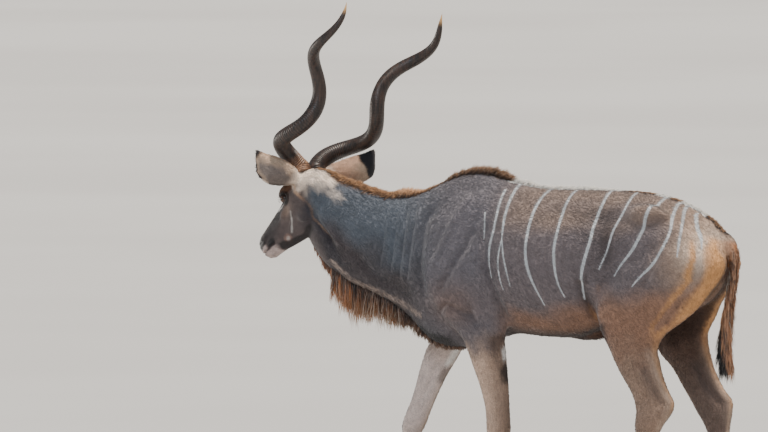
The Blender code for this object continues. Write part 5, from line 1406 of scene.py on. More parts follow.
# %% Mesh of joined hairs from arrays
def hair_object(name, verts, triangles, colours, map_spots, stuff):
    """One object from arrays of vertices, triangles, vertex colours and map places of the vertices."""
    mesh = bpy.data.meshes.new(name)
    mesh.vertices.add(len(verts))
    mesh.vertices.foreach_set("co", verts.astype(np.float32).ravel())
    mesh.loops.add(triangles.size)
    mesh.loops.foreach_set("vertex_index", triangles.astype(np.int32).ravel())
    mesh.polygons.add(len(triangles))
    mesh.polygons.foreach_set("loop_start", np.arange(0, triangles.size, 3, dtype=np.int32))
    mesh.update(calc_edges=True)
    paint(mesh, "coat", np.column_stack([colours, np.ones(len(colours))]))
    layer = mesh.uv_layers.new(name="OFBake")
    layer.data.foreach_set("uv", map_spots[triangles.ravel()].astype(np.float32).ravel())
    mesh.materials.append(stuff)
    mesh.shade_smooth()
    thing = bpy.data.objects.new(name, mesh)
    bpy.context.scene.collection.objects.link(thing)
    return thing


TUFT = np.array([(0, 1, 2), (1, 3, 2), (0, 3, 1), (0, 2, 3)])
PATCH = 0.0015


def soft_normals(thing, normals):
    """Shade the hairs mostly as the skin below them, so that they melt into one coat."""
    thing.data.normals_split_custom_set_from_vertices(normals.tolist())


def short_coat(name, at, out, uv, stuff, seed):
    """Bent flat tufts of four corners at the given roots: root, two sides and tip."""
    rng = np.random.default_rng(seed)
    count = len(at)
    way = lie_of_coat(at, out)
    way = unit(way + np.cross(out, way) * (rng.normal(0, 0.10, count) + 0.16 * ripples(at, 0.05, 33))[:, None])
    aside = np.cross(out, way)
    length, width = hair_size(at)
    length = length * rng.uniform(0.7, 1.25, count)
    width = width * rng.uniform(0.8, 1.2, count)
    stand = rng.uniform(0.05, 0.14, count) + 0.10 * (rng.random(count) < 0.06)
    root = at - out * 0.0010 - way * (length * 0.05)[:, None]
    middle = at + way * (length * 0.42)[:, None] + out * (length * (0.03 + stand))[:, None]
    tip = at + way * length[:, None] + out * (length * stand * 0.6)[:, None]
    half = aside * (width / 2)[:, None]
    verts = np.stack([root, middle - half, middle + half, tip], 1)
    triangles = (np.arange(count) * 4)[:, None, None] + TUFT[None]
    base, bare = coat_colour(at, out)
    base = base * rng.normal(1.0, 0.15, count)[:, None]
    shade = np.array((0.86, 1.0, 1.0, 1.10))
    colours = base[:, None, :] * shade[None, :, None]
    for k in range(4):
        stripe = ease(0.40, 0.66, stripe_field(verts[:, k], out) + rng.normal(0, 0.02, count))
        colours[:, k] = mix(colours[:, k], SHADED_STRIPE_WHITE, stripe)
    patch = np.array([(0, -1), (-1, 0), (1, 0), (0, 1)]) * PATCH
    places = uv[:, None, :] + patch[None]
    thing = hair_object(name, verts.reshape(-1, 3), triangles.reshape(-1, 3),
                        np.clip(colours, 0.002, 0.95).reshape(-1, 3), places.reshape(-1, 2), stuff)
    own = place_arrays(thing.data)[1]
    soft_normals(thing, unit(np.repeat(out, 4, axis=0) + 0.70 * own))
    return thing


COAT_DENSITY = 36000
coat_stuff = hair_material("kudu_coat", 0.65, 0.25)
at, out, uv = spread_roots(hair_density, 31)
print("tufts", len(at))
REGIONS = [
    ("coat_head", (on_face(at) > 0.5) | (on_ear(at)[0] > 0.5)),
    ("coat_forelegs", (at[:, 2] < 0.80) & (at[:, 0] < -0.1)),
    ("coat_hindlegs", (at[:, 2] < 0.86) & (at[:, 0] > 0.06)),
    ("coat_neck", at[:, 0] < -0.66),
    ("coat_shoulder", at[:, 0] < -0.30),
    ("coat_flank", at[:, 0] < 0.06),
    ("coat_rump", at[:, 0] > -9),
]
coats = []
free = np.ones(len(at), bool)
for k, (name, inside) in enumerate(REGIONS):
    part = free & inside
    free &= ~part
    coats.append(short_coat(name, at[part], out[part], uv[part], coat_stuff, 40 + k))
    print(name, len(coats[-1].data.polygons), "triangles")

# %% [markdown]
# ## Long hair
# The mane, the throat fringe and the tail tuft are made hair by hair. A lock is one bent path, and its hairs
# start spread round its root and draw together towards its tip, as real locks do. Each hair is a flat tube of
# three corners, widest in its lower half and running out to a point.

# %% Hair paths and tubes
def grow(root, run, bend, length, steps):
    """Paths of hairs: each starts along run and turns a little towards bend at every step."""
    path = [root]
    heading = unit(run)
    for k in range(steps):
        path.append(path[-1] + heading * (length / steps)[:, None])
        heading = unit(heading + bend)
    return np.stack(path, 1)


def hair_tubes(path, flat, width, thick):
    """Vertices and triangles of tapered tubes of three corners along paths."""
    count, marks = path.shape[:2]
    rings = marks - 1
    taper = np.interp(np.arange(rings) / rings, (0, 0.2, 0.6, 1), (0.7, 1.0, 0.95, 0.35))
    verts = []
    for k in range(rings):
        run = unit(path[:, k + 1] - path[:, max(k - 1, 0)])
        side = unit(flat - run * (flat * run).sum(1)[:, None])
        up = np.cross(run, side)
        w = (width * taper[k] / 2)[:, None]
        d = (thick * taper[k] / 2)[:, None]
        verts += [path[:, k] - side * w, path[:, k] + side * w, path[:, k] + up * d * 1.6]
    verts.append(path[:, -1])
    faces = [(0, 1, 2)]
    for k in range(rings - 1):
        for i in range(3):
            a, b = 3 * k + i, 3 * k + (i + 1) % 3
            faces += [(a, a + 3, b), (b, a + 3, b + 3)]
    for i in range(3):
        faces.append((3 * rings - 3 + i, 3 * rings, 3 * rings - 3 + (i + 1) % 3))
    each = 3 * rings + 1
    triangles = (np.arange(count) * each)[:, None, None] + np.array(faces)[None]
    return np.stack(verts, 1), triangles.reshape(-1, 3)


skin_tree = BVHTree.FromPolygons([tuple(p) for p in spots], [tuple(int(i) for i in f) for f in corners_of])


def to_skin(start, way):
    """Where rays first meet the skin, its normals and its map places; the last array tells which rays hit."""
    hits = [skin_tree.ray_cast(Vector(p), Vector(way)) for p in start]
    found = np.array([h[0] is not None for h in hits])
    face = np.array([h[2] if h[0] is not None else 0 for h in hits])
    at = np.array([h[0] if h[0] is not None else (0, 0, 0) for h in hits])
    out = np.array([h[1] if h[0] is not None else (0, 0, 1) for h in hits])
    return at[found], out[found], corner_uv[face[found]].mean(1), found


def table_at(table, x):
    """Values of a table of rows at places x along its first column."""
    rows = np.array(sorted(table))
    return [np.interp(x, rows[:, 0], rows[:, c]) for c in range(1, rows.shape[1])]


def long_hair(name, path, flat, width, colours, uv, stuff):
    """Hairs along paths, with colours given at root, middle and tip."""
    verts, triangles = hair_tubes(path, flat, width, width * 0.5)
    rings = path.shape[1] - 1
    t = np.append(np.repeat(np.arange(rings) / rings, 3), 1.0)
    low, high = np.clip(1 - t / 0.45, 0, 1), np.clip((t - 0.45) / 0.55, 0, 1)
    shares = np.stack([low, 1 - low - high, high], 1)
    tinted = sum(c[:, None, :] * shares[None, :, k, None] for k, c in enumerate(colours))
    across = np.append(np.tile((-1.0, 1.0, 0.0), rings), 0.0)
    places = uv[:, None, :] + np.stack([across, 2 * t - 1], 1)[None] * PATCH
    return hair_object(name, verts.reshape(-1, 3), triangles, np.clip(tinted.reshape(-1, 3), 0.002, 0.95),
                       places.reshape(-1, 2), stuff)


def in_locks(at, run, bend, length, hairs, radius, draw, rng, steps=5, fan=0.05):
    """Hairs of locks: root offsets that shrink towards the tip, with their own lengths."""
    who = np.repeat(np.arange(len(at)), hairs)
    path = grow(at[who], run[who] + rng.normal(0, fan, (len(who), 3)), bend[who],
                length[who] * rng.uniform(0.70, 1.05, len(who)), steps)
    off = rng.normal(0, radius, (len(who), 3))
    t = np.linspace(0, 1, path.shape[1])
    return who, path + off[:, None, :] * (1 - draw * t)[None, :, None]

# %% Mane
# along the top line: x, y, length, backward lean
CREST = [
    (-1.215, 0.026, 0.024, 2.60),
    (-1.050, 0.010, 0.044, 2.60),
    (-0.920, 0.003, 0.050, 2.00),
    (-0.870, 0.001, 0.044, 0.70),
    (-0.825, 0.000, 0.048, 0.15),
    (-0.785, 0.000, 0.044, 0.15),
    (-0.740, 0.000, 0.028, 0.40),
    (-0.670, 0.000, 0.024, 0.60),
    (-0.610, 0.000, 0.042, 0.55),
    (-0.560, 0.000, 0.054, 0.60),
    (-0.480, 0.000, 0.056, 0.75),
    (-0.400, 0.000, 0.050, 0.95),
    (-0.340, 0.000, 0.038, 1.10),
    (-0.280, 0.000, 0.035, 0.95),
    (0.000, 0.000, 0.029, 1.05),
    (0.120, 0.000, 0.015, 1.80),
    (0.420, 0.000, 0.020, 1.70),
    (0.540, 0.000, 0.016, 2.00),
]


def crest(name, first, last, locks, hairs, seed):
    rng = np.random.default_rng(seed)
    x = rng.uniform(first, last, locks)
    y, length, lean = table_at(CREST, x)
    wide = 0.007 + 0.004 * ease(-0.70, -0.95, x) * ease(-1.22, -1.10, x)
    start = np.stack([x, y + rng.normal(0, 1, locks) * wide, np.full(locks, 1.7)], 1)
    at, out, uv, hit = to_skin(start, (0, 0, -1))
    x, length, lean = x[hit], length[hit], lean[hit]
    count = len(x)
    run = np.stack([lean + 0.14 * ripples(at, 0.05, 5), rng.normal(0, 0.10, count) + out[:, 1] * 0.6,
                    np.ones(count)], 1)
    run += rng.normal(0, 0.10, (count, 3))
    bend = np.stack([np.full(count, 0.18), rng.normal(0, 0.05, count), np.full(count, -0.05)], 1)
    length = length * (0.86 + 0.10 * ripples(at, 0.04, 6)) * rng.uniform(0.70, 1.10, count)
    who, path = in_locks(at - out * 0.004, unit(run), bend, length, hairs, 0.0018, 0.3, rng, 3, 0.08)
    total = len(who)
    white = (band(-0.345, 0.100, 0.02, x) + band(0.256, 0.307, 0.01, x) + band(0.365, 0.462, 0.01, x))[who]
    neck = ease(-0.66, -0.76, x)[who]
    dice = rng.random(total)
    root = np.tile(DARK_BROWN * 0.8, (total, 1))
    middle = mix(np.tile(tone(84, 60, 46), (total, 1)), tone(128, 90, 60), neck * (dice < 0.6))
    tip = mix(np.tile(tone(158, 122, 92), (total, 1)), tone(206, 160, 118), neck)
    tip = mix(tip, DARK_BROWN, (dice > 0.8) * (x[who] < -0.3) * 0.6)
    behind = ease(0.10, 0.14, x)[who]
    middle, tip = mix(middle, tone(150, 110, 78), behind * (dice < 0.3)), mix(tip, tone(190, 150, 116), behind)
    colours = [mix(root, WHITE * 0.9, white), mix(middle, WHITE, white), mix(tip, WHITE, white)]
    flat = np.tile((1.0, 0.2, 0.0), (total, 1)) + rng.normal(0, 0.4, (total, 3))
    return long_hair(name, path, flat, rng.uniform(0.0011, 0.0019, total), colours, uv[who], hair_stuff)


hair_stuff = hair_material("kudu_long_hair", 0.6, 0.15)
HAIRY = 1.0
long_pieces = [("neck_coat", crest("mane", -1.215, -0.70, int(2900 * HAIRY), 4, 61)),
               ("body_coat", crest("back_crest", -0.70, 0.54, int(2900 * HAIRY), 4, 62))]
print("mane and crest", sum(len(p.data.polygons) for _, p in long_pieces), "triangles")

# %% Throat fringe
# along the underline: x, y, length, half width of the strip it grows from
FRINGE = [
    (-1.245, 0.060, 0.026, 0.026),
    (-1.195, 0.050, 0.055, 0.022),
    (-1.165, 0.040, 0.060, 0.020),
    (-1.148, 0.032, 0.050, 0.020),
    (-1.125, 0.020, 0.130, 0.018),
    (-1.080, 0.012, 0.168, 0.018),
    (-1.000, 0.006, 0.158, 0.020),
    (-0.900, 0.002, 0.132, 0.022),
    (-0.820, 0.000, 0.088, 0.022),
    (-0.740, 0.000, 0.050, 0.024),
    (-0.660, 0.000, 0.030, 0.026),
    (-0.560, 0.000, 0.020, 0.024),
]


def fringe(locks, hairs, seed):
    rng = np.random.default_rng(seed)
    x = rng.uniform(FRINGE[0][0], FRINGE[-1][0], locks)
    y, length, wide = table_at(FRINGE, x)
    start = np.stack([x, y + rng.uniform(-1, 1, locks) * wide, np.full(locks, 0.3)], 1)
    at, out, uv, hit = to_skin(start, (0, 0, 1))
    x, length, y = x[hit], length[hit], y[hit]
    count = len(x)
    run = np.stack([rng.normal(0.02, 0.08, count), rng.normal(0, 0.10, count) + out[:, 1] * 0.5, -np.ones(count)], 1)
    bend = np.stack([rng.normal(0.010, 0.030, count), -out[:, 1] * 0.10, np.full(count, -0.08)], 1)
    length = length * (0.92 + 0.10 * ripples(at, 0.06, 8)) * rng.uniform(0.55, 1.06, count)
    who, path = in_locks(at - out * 0.004, unit(run), bend, length, hairs, 0.0042, 0.7, rng)
    total = len(who)
    dice, lock_dice, x = rng.random(total), rng.random(count)[who], x[who]
    front, rear = ease(-0.98, -1.08, x), ease(-0.90, -0.78, x)
    dark = (band(-1.085, -1.010, 0.015, x) + band(-0.945, -0.700, 0.03, x)) * 0.85
    root = mix(np.tile(tone(84, 64, 54), (total, 1)), BLACKISH, dark)
    root = mix(root, THROAT_BEIGE * 0.9, (dice < 0.22) * 0.8)
    middle = mix(np.tile(tone(116, 74, 46), (total, 1)), tone(186, 112, 58), front * (lock_dice < 0.55))
    middle = mix(middle, tone(50, 38, 34), (lock_dice > 0.76) * 0.9)
    middle = mix(middle, THROAT_BEIGE, (dice > 0.78) * 0.8)
    middle = mix(middle, DARK_BROWN, rear * (lock_dice > 0.30) * 0.8)
    tip = mix(np.tile(tone(168, 116, 72), (total, 1)), tone(214, 196, 176), (lock_dice < 0.35) * 0.9)
    tip = mix(tip, tone(200, 128, 70), front * (lock_dice > 0.45) * 0.8)
    tip = mix(tip, tone(70, 50, 40), rear * 0.7)
    jaw = ease(-1.135, -1.150, x)
    middle, tip = mix(middle, tone(104, 66, 46), jaw * 0.8), mix(tip, tone(150, 104, 74), jaw * 0.8)
    flat = np.tile((1.0, 0.3, 0.0), (total, 1)) + rng.normal(0, 0.4, (total, 3))
    return long_hair("throat_fringe", path, flat, rng.uniform(0.0013, 0.0025, total), [root, middle, tip], uv[who],
                     hair_stuff)


long_pieces.append(("neck_coat", fringe(int(760 * HAIRY), 9, 71)))
print("fringe", len(long_pieces[-1][1].data.polygons), "triangles")

# %% Tail tuft
def tail_hair(locks, hairs, seed):
    rng = np.random.default_rng(seed)
    rows = np.array(catmull(TAIL, 8))
    t = rng.uniform(0, 1, locks) ** 0.85
    place = (12 + t * (len(rows) - 14)).astype(int)
    x, z, thick, half = rows[place].T
    a = rng.uniform(0, 2 * math.pi, locks)
    out = np.stack([np.cos(a), np.sin(a), np.zeros(locks)], 1)
    root = np.stack([x + np.cos(a) * thick * 0.75, np.sin(a) * half * 0.75, z], 1)
    run = out * (0.10 + 0.26 * ease(0.2, 0.6, t))[:, None] + np.array((0.02, 0, -1.0)) + rng.normal(0, 0.05, (locks, 3))
    length = (0.050 + 0.050 * ease(0.30, 0.80, t)) * rng.uniform(0.7, 1.1, locks)
    who, path = in_locks(root, unit(run), -out * 0.07 + np.array((0, 0, -0.02)), length, hairs, 0.0026, 0.5, rng)
    total = len(who)
    dice, lock_dice = rng.random(total), rng.random(locks)[who]
    low = (ease(0.875, 0.835, z) * ease(0.30, 0.15, out[:, 0] - 6 * (0.80 - z)))[who]
    middle = mix(np.tile(tone(162, 114, 82), (total, 1)), tone(80, 56, 44), (lock_dice < 0.35) * 0.9)
    middle = mix(middle, tone(186, 142, 108), (dice > 0.75) * 0.8)
    middle = mix(middle, DARK_BROWN, (band(0.98, 1.10, 0.02, z) * ease(0.6, -0.2, out[:, 0]))[who] * 0.6)
    fore = ease(-0.3, -0.8, out[:, 0]) * ease(0.94, 1.00, z)
    middle = mix(middle, WHITE * 0.9, fore[who] * (lock_dice > 0.4))
    middle = mix(middle, BLACKISH, low)
    tip = mix(middle * 1.15, BLACKISH, low)
    flat = np.stack([-out[:, 1], out[:, 0], np.zeros(locks)], 1)[who]
    uv = np.array([corner_uv[skin_tree.find_nearest(Vector(p))[2]].mean(0) for p in root])
    return long_hair("tail_hair", path, flat, rng.uniform(0.0012, 0.0020, total), [middle * 0.7, middle, tip],
                     uv[who], hair_stuff)


long_pieces.append(("tail_coat", tail_hair(int(620 * HAIRY), 7, 81)))
print("tail hair", len(long_pieces[-1][1].data.polygons), "triangles")

# %% Lashes and ear hair
def lashes(count, seed):
    """Dark lashes along the upper lids and pale hair inside the ears."""
    rng = np.random.default_rng(seed)
    roots, runs, bends, lengths, dark = [], [], [], [], []
    for side in (1, -1):
        tilt, along, rise = lid_axes(side)
        up = rise * (1 if rise.dot(BROW) > 0 else -1)
        for a in rng.uniform(0.15, math.pi - 0.15, count):
            spot = along * (0.0225 * math.cos(a)) + up * (0.0150 * math.sin(a)) + tilt * 0.0085
            roots.append(eye_place(side) + spot)
            runs.append(tilt * 0.9 + up * 0.25 + along * (0.5 * math.cos(a)))
            bends.append(up * 0.10 - tilt * 0.05)
            lengths.append(0.009 + 0.003 * math.sin(a))
            dark.append(1.0)
        tip, base, axis, face, wide = ear_frame(side)
        for t in rng.uniform(0.25, 0.80, count * 4):
            half, drop, opened = table_at(EAR_SHAPE, t)
            edge = rng.choice((-1, 1)) * half * rng.uniform(0.75, 0.93)
            lift = face * (half * 0.16 - EAR_BEND * math.sin(math.pi * t))
            roots.append(base + axis * ((tip - base).length * t) + wide * (drop + edge) + lift)
            runs.append(face * 0.35 + axis * 0.7 - wide * (0.9 * math.copysign(1, edge)))
            bends.append(axis * 0.10)
            lengths.append(0.024)
            dark.append(0.0)
    roots, runs, bends = (np.array([tuple(v) for v in group]) for group in (roots, runs, bends))
    lengths, dark = np.array(lengths), np.array(dark)
    path = grow(roots, runs, bends, lengths * rng.uniform(0.7, 1.1, len(roots)), 4)
    flat = np.cross(runs, np.array(UP)) + rng.normal(0, 0.1, runs.shape)
    colour = mix(np.tile(EAR_CREAM, (len(roots), 1)), tone(18, 15, 15), dark)
    uv = np.array([corner_uv[skin_tree.find_nearest(Vector(p))[2]].mean(0) for p in roots])
    width = 0.0009 - 0.0002 * dark
    return long_hair("lashes_and_ear_hair", path, flat, width, [colour, colour, colour], uv, hair_stuff)


long_pieces.append(("head_coat", lashes(70, 91)))
print("lashes and ear hair", len(long_pieces[-1][1].data.polygons), "triangles")

# %% [markdown]
# ## Horns
# A kudu's horn is an open corkscrew with a keel that winds with it, and rings of growth on its lower third.
# The horn is a loft of round sections along the spiral. Rings and keel only change the radius.

# %% Horn line
HORN_LEAN_BACK, HORN_LEAN_OUT, HORN_LENGTH = 0.474, 0.146, 0.738
HORN_COIL, HORN_COIL_TOP, HORN_TURNS, HORN_PHASE = 0.048, 0.033, 1.885, -1.309
HORN_BEND_OUT, HORN_BEND_BACK = 0.051, 0.039
HORN_BASE_APART, HORN_RADIUS, HORN_ROOT, HORN_TIP = 0.040, 0.0315, 0.030, 0.012


def horn_line(side, count=400):
    """Places along one horn, from inside the skull to the tip."""
    axis = Vector((-math.sin(HORN_LEAN_BACK), math.sin(HORN_LEAN_OUT), 0))
    axis.z = math.sqrt(1 - axis.x ** 2 - axis.y ** 2)
    ahead = Vector((0, 1, 0)).cross(axis).normalized()
    outward = axis.cross(ahead)
    if outward.y < 0:
        outward.negate()

    def spot(t):
        coil = HORN_COIL * (1 - t) ** 3 + HORN_COIL_TOP
        angle = HORN_PHASE + 2 * math.pi * HORN_TURNS * t ** 1.394
        place = axis * (HORN_LENGTH * t ** 1.471) + outward * (HORN_BEND_OUT * t * t) - ahead * (HORN_BEND_BACK * t * t)
        return place + (ahead * math.cos(angle) + outward * math.sin(angle)) * coil

    base = on_head(0.003, 0.005, side * HORN_BASE_APART)
    points = []
    for i in range(count):
        local = spot(i / (count - 1)) - spot(0.0)
        points.append(base + FORWARD * local.x + LEFT * (local.y * side) + UP * local.z)
    root = points[0] + (NOSE * 0.3 - BROW).normalized() * HORN_ROOT
    tip = points[-1] + (points[-1] - points[-2]).normalized() * HORN_TIP
    return [root] + points + [tip]


def evenly(points, count):
    """Places at even steps along a line, and its length."""
    line = np.array(points)
    marks = np.append(0, np.cumsum(np.linalg.norm(np.diff(line, axis=0), axis=1)))
    want = np.linspace(0, marks[-1], count)
    return [Vector(p) for p in np.stack([np.interp(want, marks, line[:, k]) for k in range(3)], 1)], marks[-1]


def horn_rings(side, count, around):
    line, length = evenly(horn_line(side), count)
    normal = UP.cross(LEFT).normalized()
    rings = []
    for i, place in enumerate(line):
        run = (line[min(i + 1, count - 1)] - line[max(i - 1, 0)]).normalized()
        normal = (normal - run * normal.dot(run)).normalized()
        beside = run.cross(normal)
        t = i / (count - 1)
        radius = HORN_RADIUS * (1.08 - 0.40 * t - 0.53 * t ** 5) + 0.001 * math.exp(-t / 0.06)
        if t > 0.93:
            radius *= max(0.10, 1 - ((t - 0.93) / 0.07) ** 2 * 0.92)
        wave = (t * length / 0.0088 + 0.25 * math.sin(t * 60)) % 1.0
        ridge = (1 - abs(2 * wave - 1)) ** 1.6 - 0.4
        fade = max(0.0, 1 - t / 0.55) ** 0.8
        twist = -side * 2 * math.pi * HORN_TURNS * t ** 1.2 + 0.6
        ring = []
        for k in range(around):
            a = 2 * math.pi * k / around
            keel = 1 + 0.13 * max(0.0, math.cos(a - twist)) ** 6 * (1 - 0.5 * t)
            worn = 0.68 + 0.32 * math.cos(a - twist)
            r = radius * keel * (1 + 0.100 * ridge * fade * worn) * (1 + 0.004 * math.sin(9 * a + 14 * t))
            ring.append(place + normal * (r * math.cos(a)) + beside * (r * 0.93 * math.sin(a)))
        rings.append(ring)
    return rings


# %% Horn pieces and their material
def horn_material():
    """Dark brown horn with fine grain along it and an ivory tip, lighter on the crests of its rings, with painted shade
    in the grooves between them and painted sunlight on the foot of the left horn.
    """
    stuff, tree, shader = new_material("kudu_horn")
    marks = node(tree, "ShaderNodeAttribute", attribute_name="coat")
    parts = node(tree, "ShaderNodeSeparateColor")
    tree.links.new(marks.outputs["Color"], parts.inputs["Color"])
    streaks = noise(tree, 110.0, 4.0, (1.0, 1.0, 0.10))
    body = blend_colour(tree, ramp(tree, streaks, 0.30, 0.75), tuple(tone(32, 27, 26)), tuple(tone(66, 48, 40)))
    # painted sunlight: the foot of the left horn is a lighter brown
    foot = blend_colour(tree, ramp(tree, streaks, 0.35, 0.68), tuple(tone(92, 64, 48)), tuple(tone(150, 114, 88)))
    body = blend_colour(tree, parts.outputs["Blue"], body, foot)
    # painted shade in the grooves between the growth rings, and a little lighter on their crests
    ring_groove_shade = ramp(tree, parts.outputs["Green"], 0.0, 1.0, 0.25, 1.15)
    dark = node(tree, "ShaderNodeCombineColor")
    for channel in ("Red", "Green", "Blue"):
        tree.links.new(ring_groove_shade, dark.inputs[channel])
    body = blend_colour(tree, 1.0, body, dark.outputs["Color"], "MULTIPLY")
    ivory = ramp(tree, parts.outputs["Red"], 0.945, 0.985)
    tree.links.new(blend_colour(tree, ivory, body, tuple(tone(206, 160, 104))), shader.inputs["Base Color"])
    grain = noise(tree, 300.0, 3.0, (1.0, 1.0, 0.25))
    tree.links.new(ramp(tree, grain, 0.3, 0.7, 0.36, 0.54), shader.inputs["Roughness"])
    shader.inputs["Specular IOR Level"].default_value = 0.45
    bump(tree, shader, grain, 0.0008, 0.5)
    return stuff


HORN_RINGS, HORN_AROUND = ((900, 28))
SMOOTH = np.ones(2 * (HORN_RINGS // 46) + 1) / (2 * (HORN_RINGS // 46) + 1)
horn_stuff = horn_material()
horns = []
for side, word in ((1, "left"), (-1, "right")):
    rings = horn_rings(side, HORN_RINGS, HORN_AROUND)
    horn = solid(rings)
    horn.name = "horn_piece_" + word
    middle = np.array([sum(r, Vector()) / len(r) for r in rings])
    reach = np.array([[(p - Vector(m)).length for p in r] for r, m in zip(rings, middle)])
    smooth_reach = np.stack([np.convolve(np.pad(reach[:, k], HORN_RINGS // 46, "edge"), SMOOTH, "valid")
                             for k in range(HORN_AROUND)], 1)
    high = ease(-0.045, 0.030, reach / smooth_reach - 1)
    t = np.repeat(np.linspace(0, 1, HORN_RINGS), HORN_AROUND)
    # painted sunlight on the foot of the left horn only
    foot = ease(0.115, 0.075, t) * (side > 0)
    tone_of = np.column_stack([t, high.ravel(), foot, t * 0 + 1])
    index = np.array([v.co for v in horn.data.vertices])
    order = {tuple(np.round(p, 5)): i for i, p in enumerate(np.array([p for r in rings for p in r]))}
    values = np.array([tone_of[order[tuple(np.round(p, 5))]] for p in index])
    paint(horn.data, "coat", values)
    horn.data.materials.append(horn_stuff)
    horn.data.shade_smooth()
    horns.append(horn)
print("horns", sum(len(h.data.polygons) for h in horns), "faces")

# %% [markdown]
# ## Eyes and hooves
# The eye is a ball with a raised cornea, turned out of its socket, with a level oval pupil in a dark brown
# iris. Each foot has two claws, cut off along the slope of the coronet, and two small claws behind it.

# %% Eyes
def eye_ball(side):
    tilt = lid_axes(side)[0]
    level = (Vector((tilt.y, -tilt.x, 0))).normalized()
    bm = bmesh.new()
    bmesh.ops.create_uvsphere(bm, u_segments=96, v_segments=64, radius=1.0)
    turn = Vector((0, 0, 1)).rotation_difference(tilt).to_matrix().to_4x4()
    bmesh.ops.transform(bm, verts=bm.verts, matrix=turn)
    for vert in bm.verts:
        off = math.acos(max(-1.0, min(1.0, vert.co.normalized().dot(tilt))))
        vert.co = vert.co * EYE_RADIUS * (0.985 + 0.035 * float(ease(0.75, 0.35, off)))
    thing = to_object("eye_piece_" + ("left" if side > 0 else "right"), bm)
    rel = unit(place_arrays(thing.data)[0])
    u, v = rel @ np.array(level), rel @ np.array(tilt.cross(level))
    front = rel @ np.array(tilt)
    ring = np.hypot(u, v)
    c = np.tile(tone(34, 26, 24), (len(rel), 1))
    c = mix(c, tone(78, 46, 24), ease(0.70, 0.58, ring) * (front > 0))
    c = mix(c, tone(52, 32, 20), ease(0.50, 0.62, ring) * (0.5 + 0.5 * np.sin(np.arctan2(v, u) * 30)) * (front > 0))
    c = mix(c, tone(8, 8, 12), ease(1.12, 0.92, np.hypot(u / 0.44, v / 0.24)) * (front > 0))
    paint(thing.data, "coat", np.column_stack([c, np.ones(len(c))]))
    thing.data.transform(Matrix.Translation(eye_place(side)))
    thing.data.materials.append(eye_stuff)
    thing.data.shade_smooth()
    return thing


def eye_material():
    stuff, tree, shader = new_material("kudu_eye")
    coat = node(tree, "ShaderNodeAttribute", attribute_name="coat")
    cloud = ramp(tree, noise(tree, 700.0, 3.0), 0.3, 0.7, 0.75, 1.15)
    shade = node(tree, "ShaderNodeCombineColor")
    for channel in ("Red", "Green", "Blue"):
        tree.links.new(cloud, shade.inputs[channel])
    tree.links.new(blend_colour(tree, 1.0, coat.outputs["Color"], shade.outputs["Color"], "MULTIPLY"),
                   shader.inputs["Base Color"])
    shader.inputs["Roughness"].default_value = 0.30
    shader.inputs["Specular IOR Level"].default_value = 0.25
    shader.inputs["Coat Weight"].default_value = 0.45
    shader.inputs["Coat Roughness"].default_value = 0.03
    return stuff


eye_stuff = eye_material()
eyes = [eye_ball(side) for side in (1, -1)]
print("eyes", sum(len(e.data.polygons) for e in eyes), "faces")

# %% Hooves
CLAW_LENGTH, CLAW_WIDTH, CLAW_GAP = 0.086, 0.033, 0.006


def claw(name, toe_x, leg_y, inward):
    """One claw: pointed in front, round behind, flat inside, with faint growth rings."""
    middle_y = leg_y + (CLAW_WIDTH * 0.62 / 2 + CLAW_GAP / 2 + 0.003) * inward
    around = 48
    rings = []
    for z in (0.0, 0.0012, 0.003, 0.006, *np.arange(0.009, 0.100, 0.0012)):
        part = max(0.0, z - 0.005) / 0.07
        grow_by = (1 - 0.2 * part) * (0.93 + 0.07 * float(ease(0, 0.005, z))) + 0.006 * math.sin(z * 1500) * (z > 0.008)
        centre = toe_x + CLAW_LENGTH / 2 + 0.028 * part + 0.002 * (1 - float(ease(0, 0.005, z)))
        ring = []
        for i in range(around):
            a = 2 * math.pi * i / around
            x, y = -math.cos(a), math.sin(a)
            narrow = (1 - 0.45 * max(0.0, -x) ** 2.2) * (0.62 if y * inward < 0 else 1.0)
            ring.append(Vector((centre + x * CLAW_LENGTH * grow_by / 2,
                                middle_y + y * CLAW_WIDTH * grow_by / 2 * narrow, z)))
        rings.append(ring)
    bm = bmesh.new()
    loft(bm, rings)
    geom = list(bm.verts) + list(bm.edges) + list(bm.faces)
    bmesh.ops.bisect_plane(bm, geom=geom, plane_co=(toe_x + CORONET_BACK, 0, CORONET_FRONT),
                           plane_no=(CORONET_SLOPE, 0, 1), clear_outer=True)
    bmesh.ops.edgeloop_fill(bm, edges=[e for e in bm.edges if e.is_boundary])
    geom = list(bm.verts) + list(bm.edges) + list(bm.faces)
    bmesh.ops.bisect_plane(bm, geom=geom, plane_co=(toe_x + 0.063, 0, 0.048), plane_no=(0.75, 0, 0.66), clear_outer=True)
    bmesh.ops.edgeloop_fill(bm, edges=[e for e in bm.edges if e.is_boundary])
    bmesh.ops.recalc_face_normals(bm, faces=bm.faces)
    return to_object(name, bm)


def small_claw(name, place, run):
    """A blunt horny cone behind the pastern."""
    beside = run.cross(Vector((0, 1, 0))).normalized()
    rings = []
    for reach, radius in ((-0.014, 0.0100), (-0.010, 0.0120), (0.0, 0.0112), (0.006, 0.0096), (0.011, 0.0078),
                          (0.0145, 0.0052), (0.016, 0.0020)):
        rings.append([place + run * reach + (beside * math.cos(a) + run.cross(beside) * math.sin(a)) * radius
                      for a in (2 * math.pi * i / 20 for i in range(20))])
    bm = bmesh.new()
    loft(bm, rings)
    return to_object(name, bm)


